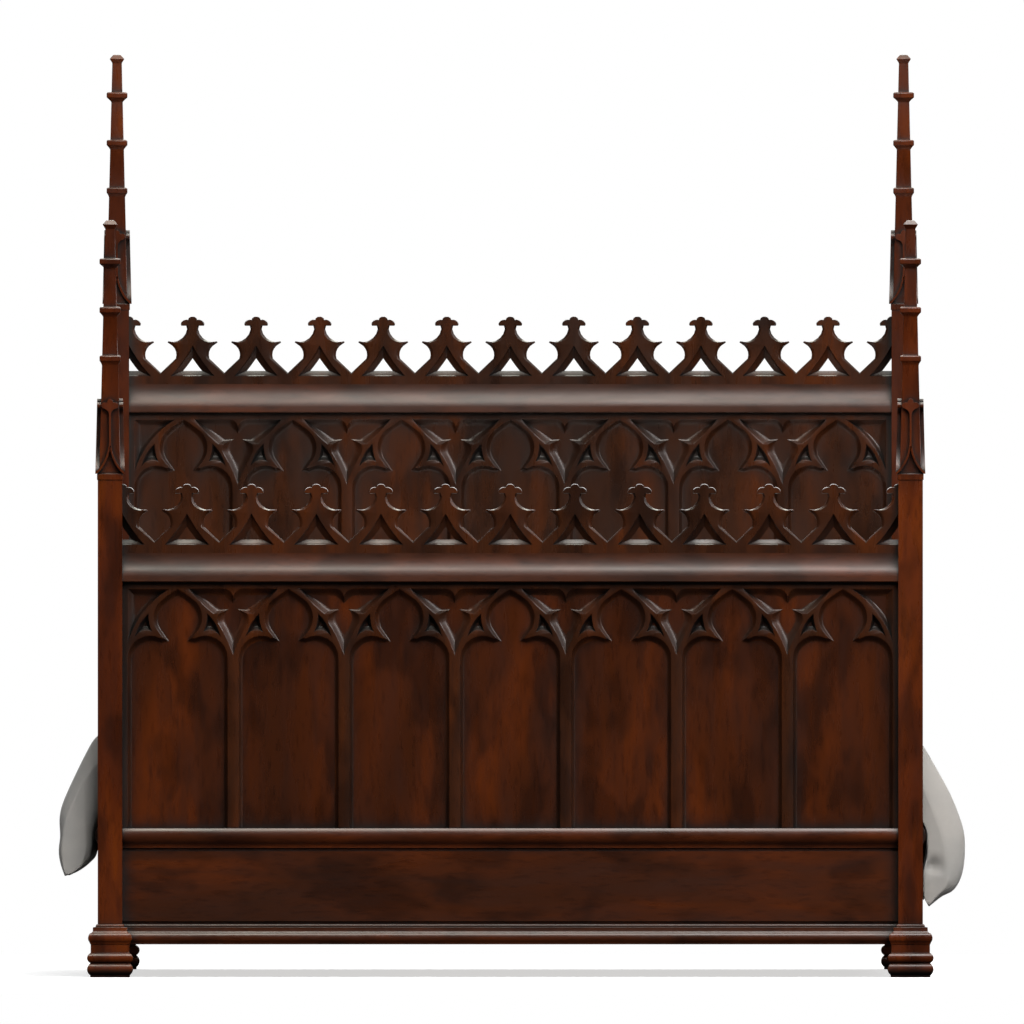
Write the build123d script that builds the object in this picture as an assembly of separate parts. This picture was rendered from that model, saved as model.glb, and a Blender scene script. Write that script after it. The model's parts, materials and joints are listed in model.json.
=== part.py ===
from build123d import *
import math
import os

# Miniature Gothic four poster bed at one-twelfth scale, as a kit of separate wooden and bedding pieces.
# +X runs across the bed, -Y points to the foot end and +Z is up. The origin is on the floor, under the
# middle of the bed. Lengths are in millimetres.

# ---- Plan ---------------------------------------------------------------------------------------------
post_spacing_x = 160.0  # between the post centres, across the bed
post_spacing_y = 170.0  # between the post centres, along the bed
post_width = 4.9  # square shaft

# ---- Heights ------------------------------------------------------------------------------------------
floor_clearance = 6.6  # floor to the underside of every rail
bottom_rail_height = 19.2
mid_rail_height = 4.0
foot_panel_height = 49.2  # between the mid rail and the top rail of the footboard
top_rail_height = 5.8
finial_height = 12.2
cresting_strip_height = 1.6  # plain strip along the foot of the finials
headboard_rise = 34.2  # extra height of the headboard's panel
foot_post_clearance = 0.8  # from the tip of the finials to the top of a foot post's shaft
head_post_clearance = 1.3  # the same on the head posts

# ---- Thicknesses, measured from the line between two post centres, towards the show face ---------------
tracery_thickness = 1.0
panel_thickness = 1.6
rail_show = 0.5  # show face of the bottom rail
rail_back = 2.0  # back of the bottom and mid rails
astragal_show = 1.9  # nose of the mid rail
top_rail_nose = 2.2  # half the width of the top rail at its widest
cresting_thickness = 2.0

# ---- Joints -------------------------------------------------------------------------------------------
tenon_thickness = 1.6
tenon_length = 1.6
tenon_shoulder = 0.6  # left on each edge of a rail beside its tenon
socket_end_gap = 0.3  # left free at the bottom of a mortise or groove
fit = 0.03  # clearance on each side of a tenon or tongue
panel_tongue = 0.8  # how far a panel enters its grooves
cresting_tongue = 0.8
cresting_tongue_thickness = 0.9
foot_tenon_width = 2.4  # square tenon on the foot of a post, into its plinth
foot_tenon_length = 5.0
spire_tenon_width = 1.6  # square tenon below a spire, into its post
spire_tenon_length = 4.0

# ---- Number of flats that each curve is cut in ---------------------------------------------------------
carving_flat_count = 3  # on the tracery and the cresting
moulding_flat_count = 2  # on the base mouldings, plinths and gablets

# ---- Base moulding and plinth: how far each member stands out from the post, and its height ------------
moulding_height = 4.0
moulding_steps = (0.40, 0.98, 1.58, 1.92, 1.50)  # bead, fillet, cove foot, roll, underside
moulding_levels = (3.42, 2.66, 2.16, 1.35, 0.70)  # heights of their lower edges over the underside
neck_step = 1.40
roll_step = 2.12
groove_step = 1.50
neck_height = 1.75
upper_roll_height = 1.95
lower_roll_height = 2.35
groove_height = 0.12

# ---- Tracery: one bay, drawn for a bay of this width ---------------------------------------------------
bays = 7
drawn_bay = 22.16

# ---- Cresting: one finial, drawn for this pitch and height ---------------------------------------------
finials = 12
drawn_pitch = 12.925
drawn_finial = 12.2

# ---- Spire and gablet, heights over the underside of the collar ----------------------------------------
collar_height = 1.25
collar_half = 2.6
spire_height = 51.9
needle_foot_half = 2.15
needle_top_half = 0.96
knop_tops = (24.9, 34.6, 44.3)
knop_half = 2.1
knop_face = 1.1
knop_height = 2.0
cap_height = 1.7
cap_half = 1.48
cap_flat_half = 0.75
cap_eaves = 0.85  # from the top of the cap to its widest line
rib_depth = 0.8  # how far a gablet's ribs stand out from the needle
gablet_height = 15.0
stem_half = 0.2

# ---- Side rails, ledgers and slats ---------------------------------------------------------------------
side_rail_thickness = 3.0
side_rail_setback = 0.35  # outer face behind the posts' outer face
side_roll_reach = 0.6  # nose of the roll beyond the posts' outer face
ledger_width = 2.0
ledger_height = 2.0
ledger_top = 13.0  # over the floor
ledger_end_gap = 0.25
slats = 12
slat_width = 8.0
slat_thickness = 1.6
slat_end_gap = 0.3

# ---- Bedding -------------------------------------------------------------------------------------------
soft_gap = 0.3  # left between soft pieces and their neighbours
mattress_side_gap = 1.55  # from the mattress to the posts' inner faces, on each side
mattress_end_gap = 0.5  # from the mattress to the backs of the rails at its head and foot
mattress_thickness = 27.0
mattress_corner = 6.0
mattress_edge = 2.5
pillow_length = 62.0
pillow_width = 38.0
pillow_thickness = 11.0
pillow_edge = 4.0
pillow_spacing = 70.0
pillow_head_gap = 2.0
duvet_thickness = 8.5
duvet_reach = 7.2  # thickness of its hanging sides
duvet_hem_height = 17.2
duvet_fullest = 27.0  # height at which its hanging sides stand out the most
duvet_pillow_gap = 1.5

# ---- Worked out from the sizes above -------------------------------------------------------------------
half_post = post_width / 2
span_x = post_spacing_x - post_width
span_y = post_spacing_y - post_width
mid_rail_z = floor_clearance + bottom_rail_height
panel_z = mid_rail_z + mid_rail_height
moulding_top = floor_clearance + moulding_height
spire_taper = (needle_foot_half - needle_top_half) / (spire_height - cap_height - collar_height)
gablet_half = needle_foot_half + rib_depth
side_rail_outer = post_spacing_x / 2 + half_post - side_rail_setback
side_rail_inner = side_rail_outer - side_rail_thickness
side_roll_outer = post_spacing_x / 2 + half_post + side_roll_reach
slat_top = ledger_top + slat_thickness
mattress_z = slat_top + soft_gap
mattress_top = mattress_z + mattress_thickness
mattress_width = span_x - 2 * mattress_side_gap
mattress_length = post_spacing_y - 2 * (rail_back + mattress_end_gap)


# ---- Drawing helpers -----------------------------------------------------------------------------------
def line(end):
    return (end,)


def arc(via, end):
    return (via, end)


def drawn(vector):
    return (vector.X, vector.Y)


def in_flats(start, steps, flats):
    """The same outline with every arc cut in that many straight flats."""
    straight = []
    here = start
    for step in steps:
        if len(step) == 2:
            curve = Edge.make_three_point_arc(*[Vector(*p) for p in (here, *step)])
            straight += [line(drawn(curve @ (number / flats))) for number in range(1, flats + 1)]
        else:
            straight.append(step)
        here = step[-1]
    return straight


def closed_wire(start, steps, place):
    """The closed wire through start and each step; place turns a drawn point into one in space."""
    edges = []
    here = start
    for step in steps:
        points = [place(*p) for p in (here, *step)]
        edges.append(Edge.make_three_point_arc(*points) if len(points) == 3 else Edge.make_line(*points))
        here = step[-1]
    if math.dist(here, start) > 1e-6:
        edges.append(Edge.make_line(place(*here), place(*start)))
    return Wire(edges)


def mirrored(start, steps):
    """The steps of a half outline, followed by those of its mirror image walked back to the start."""
    ends = [start] + [step[-1] for step in steps]
    back = []
    for here, step in zip(reversed(ends[:-1]), reversed(steps)):
        flipped = (-here[0], here[1])
        back.append(line(flipped) if len(step) == 1 else arc((-step[0][0], step[0][1]), flipped))
    return steps + back


def scaled(start, steps, sx, sy):
    """An outline stretched from the sizes it was drawn for."""
    return (start[0] * sx, start[1] * sy), [tuple((p[0] * sx, p[1] * sy) for p in step) for step in steps]


def block(x, y, z):
    """A box between two limits on each axis."""
    size = [b - a for a, b in (x, y, z)]
    return Pos(*[(a + b) / 2 for a, b in (x, y, z)]) * Box(*size)


def peg(centre, width, z):
    """A square peg round an upright axis, between two heights."""
    half = width / 2
    return block((centre.X - half, centre.X + half), (centre.Y - half, centre.Y + half), z)


def length_of_section(start, steps, along, origin):
    """A moulding of the drawn section: drawn x is across it, drawn y is up, and along is its length."""
    direction = along.normalized()
    across = Vector(0, 0, 1).cross(direction)

    def place(reach, height):
        return origin + across * reach + Vector(0, 0, height)

    return extrude(Face(closed_wire(start, steps, place)), amount=along.length, dir=direction)


def bevelled_plug(near, far):
    """The solid between two outlines with as many corners each; its sides are split into flat triangles."""
    faces = [Face(Wire.make_polygon(near)), Face(Wire.make_polygon(far))]
    for here in range(len(near)):
        corners = (near[here - 1], near[here], far[here], far[here - 1])
        faces += [Face(Wire.make_polygon([corners[i] for i in half])) for half in ((0, 1, 2), (0, 2, 3))]
    return Solid(Shell(faces))


def square_stack(start, steps, centre):
    """A square block whose sides all have the drawn half section, mitred at the corners."""
    outline = mirrored(start, steps)
    reach = 2 * max(abs(p[0]) for step in outline for p in step)

    def along_y(x, z):
        return centre + Vector(x, -reach, z)

    def along_x(y, z):
        return centre + Vector(-reach, y, z)

    one_way = extrude(Face(closed_wire(start, outline, along_y)), amount=2 * reach, dir=(0, 1, 0))
    other_way = extrude(Face(closed_wire(start, outline, along_x)), amount=2 * reach, dir=(1, 0, 0))
    return one_way & other_way


# ---- Posts ---------------------------------------------------------------------------------------------
def base_moulding_section(face, foot):
    """The base moulding's steps from its top edge down, out from face, with foot as its underside."""
    bead, fillet, cove, roll, underside = (face + step for step in moulding_steps)
    bead_foot, fillet_foot, cove_foot, roll_middle, roll_foot = (foot + z for z in moulding_levels)
    steps = [
        line((bead - 0.12, foot + moulding_height - 0.06)),
        line((bead, bead_foot)),
        line((fillet, bead_foot - 0.05)),
        line((fillet, fillet_foot)),
        arc((fillet + 0.20, (fillet_foot + cove_foot) / 2 - 0.05), (cove, cove_foot)),
        arc((roll, roll_middle), (roll - 0.10, roll_foot)),
        line((underside, foot)),
    ]
    return in_flats((face, foot + moulding_height), steps, moulding_flat_count)


def plinth(centre, grow):
    """Moulded block under a post; grow makes the slightly larger copy that scribes the rails to it."""
    side = half_post + grow
    neck, roll, groove = (side + step for step in (neck_step, roll_step, groove_step))
    upper_roll = floor_clearance - neck_height - upper_roll_height
    lower_roll = upper_roll - groove_height - lower_roll_height
    rolls = [
        line((neck, upper_roll + upper_roll_height)),
        arc((roll, upper_roll + upper_roll_height / 2), (groove, upper_roll)),
        line((groove, lower_roll + lower_roll_height)),
        arc((roll, lower_roll + lower_roll_height / 2), (groove, lower_roll)),
        line((groove, 0)),
        line((0, 0)),
    ]
    under = (neck, floor_clearance)
    steps = [line((side, moulding_top))] + base_moulding_section(side, floor_clearance)
    steps += [line(under)] + in_flats(under, rolls, 2 * moulding_flat_count)
    return square_stack((0, moulding_top), steps, centre)


def post_shaft(centre, top):
    """Square shaft with a square tenon below and a mortise in its top for the spire's."""
    shaft = peg(centre, post_width, (moulding_top, top))
    tenon_below = peg(centre, foot_tenon_width, (moulding_top - foot_tenon_length, moulding_top))
    socket = peg(centre, spire_tenon_width + 2 * fit, (top - spire_tenon_length - socket_end_gap, top))
    return shaft + tenon_below - socket


def plinth_mortise(centre):
    depth = foot_tenon_length + socket_end_gap
    return peg(centre, foot_tenon_width + 2 * fit, (moulding_top - depth, moulding_top))


# ---- Spires --------------------------------------------------------------------------------------------
def needle_half(height):
    """Half width of the tapering needle at a height over the collar's underside."""
    return needle_foot_half - spire_taper * (height - collar_height)


def spire(centre, base):
    """Collar, tapering needle, three knops and a cap, carved as one piece with a square tenon below."""
    steps = [
        line((cap_flat_half, spire_height)),
        line((cap_half, spire_height - cap_eaves)),
        line((needle_half(spire_height - cap_height), spire_height - cap_height)),
    ]
    for top in sorted(knop_tops, reverse=True):
        steps += [
            line((needle_half(top), top)),
            line((knop_half, top)),
            line((knop_half, top - knop_face)),
            line((needle_half(top - knop_height), top - knop_height)),
        ]
    steps += [
        line((needle_foot_half, collar_height)),
        line((collar_half, collar_height)),
        line((collar_half, 0)),
        line((0, 0)),
    ]
    body = square_stack((0, spire_height), steps, Vector(centre.X, centre.Y, base))
    return body + peg(centre, spire_tenon_width, (base - spire_tenon_length, base))


def gablet(centre, base):
    """Four fleur and fork ribs seated on the needle's sloping faces and joined at the collar's corners."""
    corner = gablet_half
    top = gablet_height
    half = [
        line((0.60, top - 0.80)),
        arc((1.75, top - 1.30), (1.10, top - 2.00)),
        line((stem_half, top - 2.9)),
        line((stem_half, 6.9)),
        arc((0.95, 3.1), (corner, 0.25)),
        line((corner, 0)),
        line((corner - 0.34, 0)),
        arc((0.80, 2.4), (0, 5.4)),
    ]
    outline = mirrored((0, top), in_flats((0, top), half, moulding_flat_count))
    tilt = math.atan(spire_taper)
    up = Vector(0, math.sin(tilt), math.cos(tilt))
    foot = Vector(0, -needle_foot_half, collar_height)

    def place(x, height):
        return foot + Vector(x, 0, 0) + up * height

    outward = Vector(0, -math.cos(tilt), math.sin(tilt))
    rib = extrude(Face(closed_wire((0, top), outline, place)), amount=rib_depth, dir=outward)
    seat = block((-corner, corner), (-corner, corner), (collar_height, 2 * gablet_height))
    ribs = Part() + [Rot(0, 0, turn) * rib for turn in (0, 90, 180, 270)]
    return Pos(centre.X, centre.Y, base) * (ribs & seat)


# ---- Footboard and headboard ---------------------------------------------------------------------------
class EndBoard:
    """Sizes of one end of the bed; drawn depths count towards the show face, which is -Y on both ends."""

    def __init__(self, y, rise, outward):
        self.y = y
        self.outward = outward
        self.top_rail_z = panel_z + foot_panel_height + rise
        self.cresting_z = self.top_rail_z + top_rail_height

    def across(self, depth, z):
        """Start of a length of moulding that runs from the left post to the right one."""
        return Vector(-span_x / 2, self.y - depth, z)

    def slab(self, depth, z, ends=0.0):
        """A box from post to post, or past their faces by ends."""
        reach = span_x / 2 + ends
        return block((-reach, reach), (self.y - depth[1], self.y - depth[0]), z)


def tenon(board, z, grow=0.0):
    """The tenons on both ends of a rail, or with grow their mortises."""
    low, high = z[0] + tenon_shoulder - grow, z[1] - tenon_shoulder + grow
    depth = (-tenon_thickness / 2 - grow, tenon_thickness / 2 + grow)
    return board.slab(depth, (low, high), tenon_length + (socket_end_gap if grow else 0))


def panel_groove(board):
    """The groove that runs round the ground panel, in the posts and in both rails."""
    depth = (-panel_thickness - fit, fit)
    reach = panel_tongue + socket_end_gap
    return board.slab(depth, (panel_z - reach, board.top_rail_z + reach), reach)


def top_rail(board):
    """Double-sided ogee rail: a cove under the cresting that swells out to a nose."""
    neck = cresting_thickness / 2
    nose_top = 0.24 * top_rail_height
    turn = ((neck + top_rail_nose) / 2 + 0.03, 0.53 * top_rail_height)
    half = [
        line((neck, top_rail_height)),
        arc((neck + 0.16, 0.72 * top_rail_height), turn),
        arc((top_rail_nose - 0.14, 0.37 * top_rail_height), (top_rail_nose, nose_top)),
        line((top_rail_nose, 0.18)),
        line((top_rail_nose - 0.18, 0)),
        line((0, 0)),
    ]
    start = (0, top_rail_height)
    z = (board.top_rail_z, board.cresting_z)
    rail = length_of_section(start, mirrored(start, half), Vector(span_x, 0, 0), board.across(0, z[0]))
    groove_half = cresting_tongue_thickness / 2 + fit
    groove_z = (z[1] - cresting_tongue - socket_end_gap, z[1])
    return rail + tenon(board, z) - board.slab((-groove_half, groove_half), groove_z)


def finial_outline(pitch, height):
    """Right half of a finial, from its tip to the valley beside it, on a pitch and height of choice."""
    start = (0, drawn_finial)
    half = [
        arc((0.66, 12.00), (0.91, 11.50)),
        arc((2.02, 11.33), (2.42, 10.62)),
        line((2.28, 10.28)),
        line((1.30, 10.28)),
        line((1.13, 9.60)),
        arc((2.20, 7.70), (4.95, 7.14)),
        line((5.08, 6.86)),
        line((4.62, 6.56)),
        arc((3.42, 5.15), (3.42, 3.62)),
        line((drawn_pitch / 2, 0.72)),
    ]
    half = in_flats(start, half, carving_flat_count)
    return scaled(start, half, pitch / drawn_pitch, height / drawn_finial)


def cresting_opening(pitch, height, deep):
    """The three-cornered opening in a finial, at its face or, if deep, halfway through the board."""
    if deep:
        start, half = (0, 3.66), [arc((0.90, 2.40), (1.91, 1.10)), line((0, 1.10))]
    else:
        start, half = (0, 6.30), [arc((1.95, 3.15), (4.45, 0.05)), line((0, 0.05))]
    half = in_flats(start, half, carving_flat_count)
    return scaled(start, half, pitch / drawn_pitch, height / drawn_finial)


def cresting(board):
    """Fretted board of finials with openings bevelled from both faces, on a strip with a tongue below."""
    pitch = span_x / finials
    half_thick = cresting_thickness / 2
    foot = board.cresting_z + cresting_strip_height
    centres = [number * pitch - span_x / 2 for number in range(finials + 1)]
    tip, half = finial_outline(pitch, finial_height)
    finial = mirrored(tip, half)
    falling, rising = finial[: len(half)], finial[len(half) :]
    steps = []
    for left, right in zip(centres, centres[1:]):
        steps += [tuple((x + left, z) for x, z in step) for step in falling]
        steps += [tuple((x + right, z) for x, z in step) for step in rising]
    steps += [line((span_x / 2, -cresting_strip_height)), line((-span_x / 2, -cresting_strip_height))]

    outline = closed_wire(
        (-span_x / 2, tip[1]), steps, lambda x, z: Vector(x, board.y - half_thick, foot + z)
    )
    fret = extrude(Face(outline), amount=cresting_thickness, dir=(0, 1, 0))
    holes = []
    for centre in centres:
        for face in (-half_thick, half_thick):
            corners = []
            for deep, depth in ((False, face), (True, 0)):
                start, opening = cresting_opening(pitch, finial_height, deep)
                drawn_corners = [step[-1] for step in mirrored(start, opening)]
                corners.append([Vector(x + centre, board.y - depth, foot + z) for x, z in drawn_corners])
            holes.append(bevelled_plug(*corners))
    tongue_half = cresting_tongue_thickness / 2
    tongue_z = (board.cresting_z - cresting_tongue, board.cresting_z)
    tongue = board.slab((-tongue_half, tongue_half), tongue_z)
    between_posts = board.slab((-half_thick, half_thick), (tongue_z[0], foot + 2 * finial_height))
    return (fret + tongue - holes) & between_posts


# Each piercing of the tracery is drawn twice: where it opens at the face, and smaller, where its bevel
# meets the ground panel. x is from the bay's or mullion's centre, and y is down from the top rail.
def light_outline(at_ground, foot):
    """Right half of a trefoil-headed light: pointed upper foil, cusp, lower foil and straight side."""
    if at_ground:
        head = [
            line((2.60, 4.50)),
            arc((4.00, 7.25), (3.05, 10.00)),
            line((1.78, 11.86)),
            line((3.34, 12.20)),
            arc((7.14, 12.30), (9.22, 15.80)),
            line((9.22, foot)),
        ]
        return (0, 2.75), head + [line((0, foot))]
    head = [
        line((3.45, 3.82)),
        arc((4.82, 6.60), (3.90, 9.85)),
        line((2.84, 11.20)),
        line((3.34, 11.30)),
        arc((8.14, 11.60), (9.97, 15.40)),
        line((9.97, foot)),
    ]
    return (0, 1.40), head + [line((0, foot))]


def spandrel_outline(at_ground):
    """Right half of the pit between two arches: pendant point, border, arch back, crocket and valley."""
    if at_ground:
        return (0, 4.35), [
            line((0.95, 3.30)),
            line((1.95, 2.70)),
            line((7.40, 2.70)),
            arc((4.80, 4.42), (2.50, 5.72)),
            line((0.90, 5.50)),
            arc((1.62, 6.90), (1.30, 8.40)),
            arc((0.70, 9.60), (0, 10.40)),
        ]
    return (0, 3.05), [
        line((0.60, 1.98)),
        line((1.50, 1.32)),
        line((8.90, 1.30)),
        arc((6.05, 4.45), (3.90, 6.35)),
        line((2.76, 6.30)),
        arc((3.12, 7.50), (2.60, 8.80)),
        arc((1.25, 11.40), (0, 14.50)),
    ]


def half_spandrel_outline(at_ground):
    """The plain pit beside a post, with x from the post's face."""
    if at_ground:
        return (2.54, 2.80), [line((6.90, 2.80)), arc((4.30, 4.65), (2.54, 6.80)), line((2.54, 2.80))]
    return (1.15, 1.40), [line((9.30, 1.40)), arc((4.60, 5.50), (1.15, 11.80)), line((1.15, 1.40))]


def eyelet_outline(at_ground):
    """Three-cornered eyelet between a light's foils and its arch, right of the bay's centre."""
    if at_ground:
        return (6.30, 8.00), [
            arc((7.10, 8.95), (7.50, 9.90)),
            arc((6.75, 9.32), (5.95, 9.25)),
            arc((6.22, 8.60), (6.30, 8.00)),
        ]
    return (5.86, 6.30), [
        arc((7.65, 8.55), (8.56, 11.00)),
        arc((6.95, 9.68), (5.16, 9.90)),
        arc((5.72, 8.10), (5.86, 6.30)),
    ]


def tracery(board):
    """Seven-bay tracery board, laid on the ground panel, with every edge bevelled down to the panel."""
    bay = span_x / bays
    scale = bay / drawn_bay
    foot = (board.top_rail_z - panel_z) / scale + 1.0

    def pierce(outline, centre, side=1, symmetric=True):
        corners = []
        for at_ground, depth in ((False, tracery_thickness), (True, 0.0)):
            start, steps = outline(at_ground)
            steps = in_flats(start, steps, carving_flat_count)
            steps = mirrored(start, steps) if symmetric else steps
            placed = [(centre + side * scale * x, board.top_rail_z - scale * down) for (x, down), in steps]
            corners.append([Vector(x, board.y - depth, z) for x, z in placed])
        return bevelled_plug(*corners)

    def light(at_ground):
        return light_outline(at_ground, foot)

    cuts = []
    for number in range(bays):
        centre = (number + 0.5) * bay - span_x / 2
        cuts.append(pierce(light, centre))
        cuts += [pierce(eyelet_outline, centre, side, False) for side in (-1, 1)]
    for number in range(1, bays):
        cuts.append(pierce(spandrel_outline, number * bay - span_x / 2))
    for side in (-1, 1):
        cuts.append(pierce(half_spandrel_outline, side * span_x / 2, -side, False))
    return board.slab((0, tracery_thickness), (panel_z, board.top_rail_z)) - cuts


def ground_panel(board):
    z = (panel_z - panel_tongue, board.top_rail_z + panel_tongue)
    return board.slab((-panel_thickness, 0), z, panel_tongue)


def astragal_section(face, nose):
    """A half-round nose over a small cove, standing out from the given face."""
    cove_top = mid_rail_height / 4
    edge = face + 0.55 * nose
    return [
        line((face + 0.25 * nose, 0)),
        arc((face + 0.33 * nose, cove_top / 2 + 0.1), (edge, cove_top)),
        arc((face + nose, (cove_top + mid_rail_height) / 2), (edge, mid_rail_height)),
    ]


def mid_rail(board):
    """Rail with an astragal over the bottom rail's show face."""
    z = (mid_rail_z, panel_z)
    steps = astragal_section(rail_show, astragal_show - rail_show) + [
        line((-rail_back, mid_rail_height)),
        line((-rail_back, 0)),
    ]
    origin = Vector(span_x / 2, board.y, z[0])
    return length_of_section((-rail_back, 0), steps, Vector(-span_x, 0, 0), origin) + tenon(board, z)


def bottom_rail(board):
    z = (floor_clearance, mid_rail_z)
    return board.slab((-rail_back, rail_show), z) + tenon(board, (moulding_top, mid_rail_z))


def end_moulding(board):
    """Length of base moulding planted on the outer face of the bottom rail."""
    face = board.y + board.outward * (rail_show if board.outward < 0 else rail_back)
    origin = Vector(-board.outward * span_x / 2, face, floor_clearance)
    return base_moulding(origin, Vector(board.outward * span_x, 0, 0))


def base_moulding(origin, along):
    steps = [line((0, moulding_height))] + base_moulding_section(0.0, 0.0)
    return length_of_section((0, 0), steps, along, origin)


# ---- Side rails, ledgers and slats ---------------------------------------------------------------------
def side_strip(side, x, z, end_gap=0.0):
    """A box along one side of the bed, from post to post or short of them by end_gap."""
    reach = span_y / 2 - end_gap
    limits = sorted(side * value for value in x)
    return block(limits, (-reach, reach), z)


def side_roll(side):
    """Cap strip of a side rail, with the same nose and cove as the mid rails."""
    nose = side_roll_outer - side_rail_outer
    steps = astragal_section(side_rail_outer, nose) + [
        line((side_rail_inner, mid_rail_height)),
        line((side_rail_inner, 0)),
    ]
    origin = Vector(0, side * span_y / 2, mid_rail_z)
    return length_of_section((side_rail_inner, 0), steps, Vector(0, -side * span_y, 0), origin)


def side_rail(side):
    board = side_strip(side, (side_rail_inner, side_rail_outer), (floor_clearance, mid_rail_z))
    return board + side_tenon(side)


def side_tenon(side, grow=0.0):
    """The tenons on both ends of a side rail, or with grow their mortises in the posts."""
    middle = (side_rail_inner + side_rail_outer) / 2
    x = (middle - tenon_thickness / 2 - grow, middle + tenon_thickness / 2 + grow)
    z = (moulding_top + tenon_shoulder - grow, mid_rail_z - tenon_shoulder + grow)
    return side_strip(side, x, z, -(tenon_length + (socket_end_gap if grow else 0)))


def side_moulding(side):
    """Length of base moulding planted on the outer face of a side rail."""
    origin = Vector(side * side_rail_outer, side * span_y / 2, floor_clearance)
    return base_moulding(origin, Vector(0, -side * span_y, 0))


def slat_set():
    """Loose slats, evenly spaced between the bottom rails."""
    clear = post_spacing_y - 2 * rail_back
    pitch = clear / slats
    reach = side_rail_inner - slat_end_gap
    boards = []
    for number in range(slats):
        y = (number + 0.5) * pitch - clear / 2
        limits = (y - slat_width / 2, y + slat_width / 2)
        boards.append(block((-reach, reach), limits, (ledger_top, slat_top)))
    return boards


# ---- Bedding -------------------------------------------------------------------------------------------
def mattress():
    body = block(
        (-mattress_width / 2, mattress_width / 2),
        (-mattress_length / 2, mattress_length / 2),
        (mattress_z, mattress_top),
    )
    body = fillet(body.edges().filter_by(Axis.Z), mattress_corner)
    return chamfer(body.faces().filter_by(Axis.Z).edges(), mattress_edge)


def pillow_foot():
    """Y of the pillows' edge that faces the foot of the bed."""
    return mattress_length / 2 - pillow_head_gap - pillow_width


def pillow(side):
    x = side * pillow_spacing / 2
    z = mattress_top + soft_gap
    body = block(
        (x - pillow_length / 2, x + pillow_length / 2),
        (pillow_foot(), pillow_foot() + pillow_width),
        (z, z + pillow_thickness),
    )
    return chamfer(body.edges(), pillow_edge)


def duvet():
    """Thick cover that turns over the mattress's edges and hangs outside the side rails to a round hem.

    Its foot end is cut back far enough to lift off past the gablets.
    """
    inner = side_roll_outer + soft_gap
    outer = inner + duvet_reach
    hem_turn = duvet_hem_height + duvet_reach / 2
    edge = Vector(mattress_width / 2 + soft_gap, mattress_top + soft_gap)
    fall = Vector(inner, panel_z + 2 * soft_gap)
    above = Vector(0, duvet_thickness)
    beside = Vector(edge.Y - fall.Y, fall.X - edge.X).normalized() * duvet_thickness
    between = (above + beside).normalized() * duvet_thickness
    half = [
        line(drawn(edge + above)),
        arc(drawn(edge + between), drawn(edge + beside)),
        arc((outer - 0.22 * duvet_reach, (duvet_fullest + edge.Y) / 2), (outer, duvet_fullest)),
        line((outer, hem_turn)),
        arc(((inner + outer) / 2, duvet_hem_height), (inner, hem_turn)),
        line(drawn(fall)),
        line(drawn(edge)),
        line((0, edge.Y)),
    ]
    start = (0, edge.Y + duvet_thickness)
    foot = gablet_half + soft_gap - post_spacing_y / 2
    head = pillow_foot() - duvet_pillow_gap
    return length_of_section(start, mirrored(start, half), Vector(0, head - foot, 0), Vector(0, foot, 0))


# ---- Assembly ------------------------------------------------------------------------------------------
ends = {
    "foot": EndBoard(-post_spacing_y / 2, 0.0, -1),
    "head": EndBoard(post_spacing_y / 2, headboard_rise, 1),
}
shaft_tops = {
    "foot": ends["foot"].cresting_z + cresting_strip_height + finial_height + foot_post_clearance,
    "head": ends["head"].cresting_z + cresting_strip_height + finial_height + head_post_clearance,
}
sides = {"left": -1, "right": 1}
centres = {
    (end, side): Vector(sign * post_spacing_x / 2, board.y, 0)
    for end, board in ends.items()
    for side, sign in sides.items()
}
scribes = [plinth(centre, fit) for centre in centres.values()]
nodes = {}

for (end, side), centre in centres.items():
    board = ends[end]
    mortises = [
        tenon(board, (board.top_rail_z, board.cresting_z), fit),
        tenon(board, (mid_rail_z, panel_z), fit),
        tenon(board, (moulding_top, mid_rail_z), fit),
        panel_groove(board),
        side_tenon(sides[side], fit),
    ]
    nodes[f"{end}_{side}_post"] = post_shaft(centre, shaft_tops[end]) - mortises
    nodes[f"{end}_{side}_plinth"] = plinth(centre, 0.0) - plinth_mortise(centre)
    nodes[f"{end}_{side}_spire"] = spire(centre, shaft_tops[end])
    nodes[f"{end}_{side}_gablet"] = gablet(centre, shaft_tops[end])

for end, board in ends.items():
    nodes[f"{end}board_top_rail"] = top_rail(board) - panel_groove(board)
    nodes[f"{end}board_cresting"] = cresting(board)
    nodes[f"{end}board_tracery"] = tracery(board)
    nodes[f"{end}board_panel"] = ground_panel(board)
    nodes[f"{end}board_mid_rail"] = mid_rail(board) - panel_groove(board)
    nodes[f"{end}board_bottom_rail"] = bottom_rail(board) - scribes
    nodes[f"{end}board_base_moulding"] = end_moulding(board) - scribes

for side, sign in sides.items():
    ledger_x = (side_rail_inner - ledger_width, side_rail_inner)
    ledger_z = (ledger_top - ledger_height, ledger_top)
    nodes[f"{side}_side_rail"] = side_rail(sign) - scribes
    nodes[f"{side}_side_roll"] = side_roll(sign)
    nodes[f"{side}_side_base_moulding"] = side_moulding(sign) - scribes
    nodes[f"{side}_ledger"] = side_strip(sign, ledger_x, ledger_z, ledger_end_gap)
    nodes[f"{side}_pillow"] = pillow(sign)

nodes["slats"] = slat_set()
nodes["mattress"] = mattress()
nodes["duvet"] = duvet()

os.makedirs("parts", exist_ok=True)
for name, shape in nodes.items():
    solids = [s for piece in (shape if isinstance(shape, list) else [shape]) for s in piece.solids()]
    export_step(Compound(children=solids) if len(solids) > 1 else solids[0], f"parts/{name}.step")
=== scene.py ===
import json
import math

import bmesh
import bpy
from mathutils import Matrix, Vector, noise
from mathutils.geometry import tessellate_polygon

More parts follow.
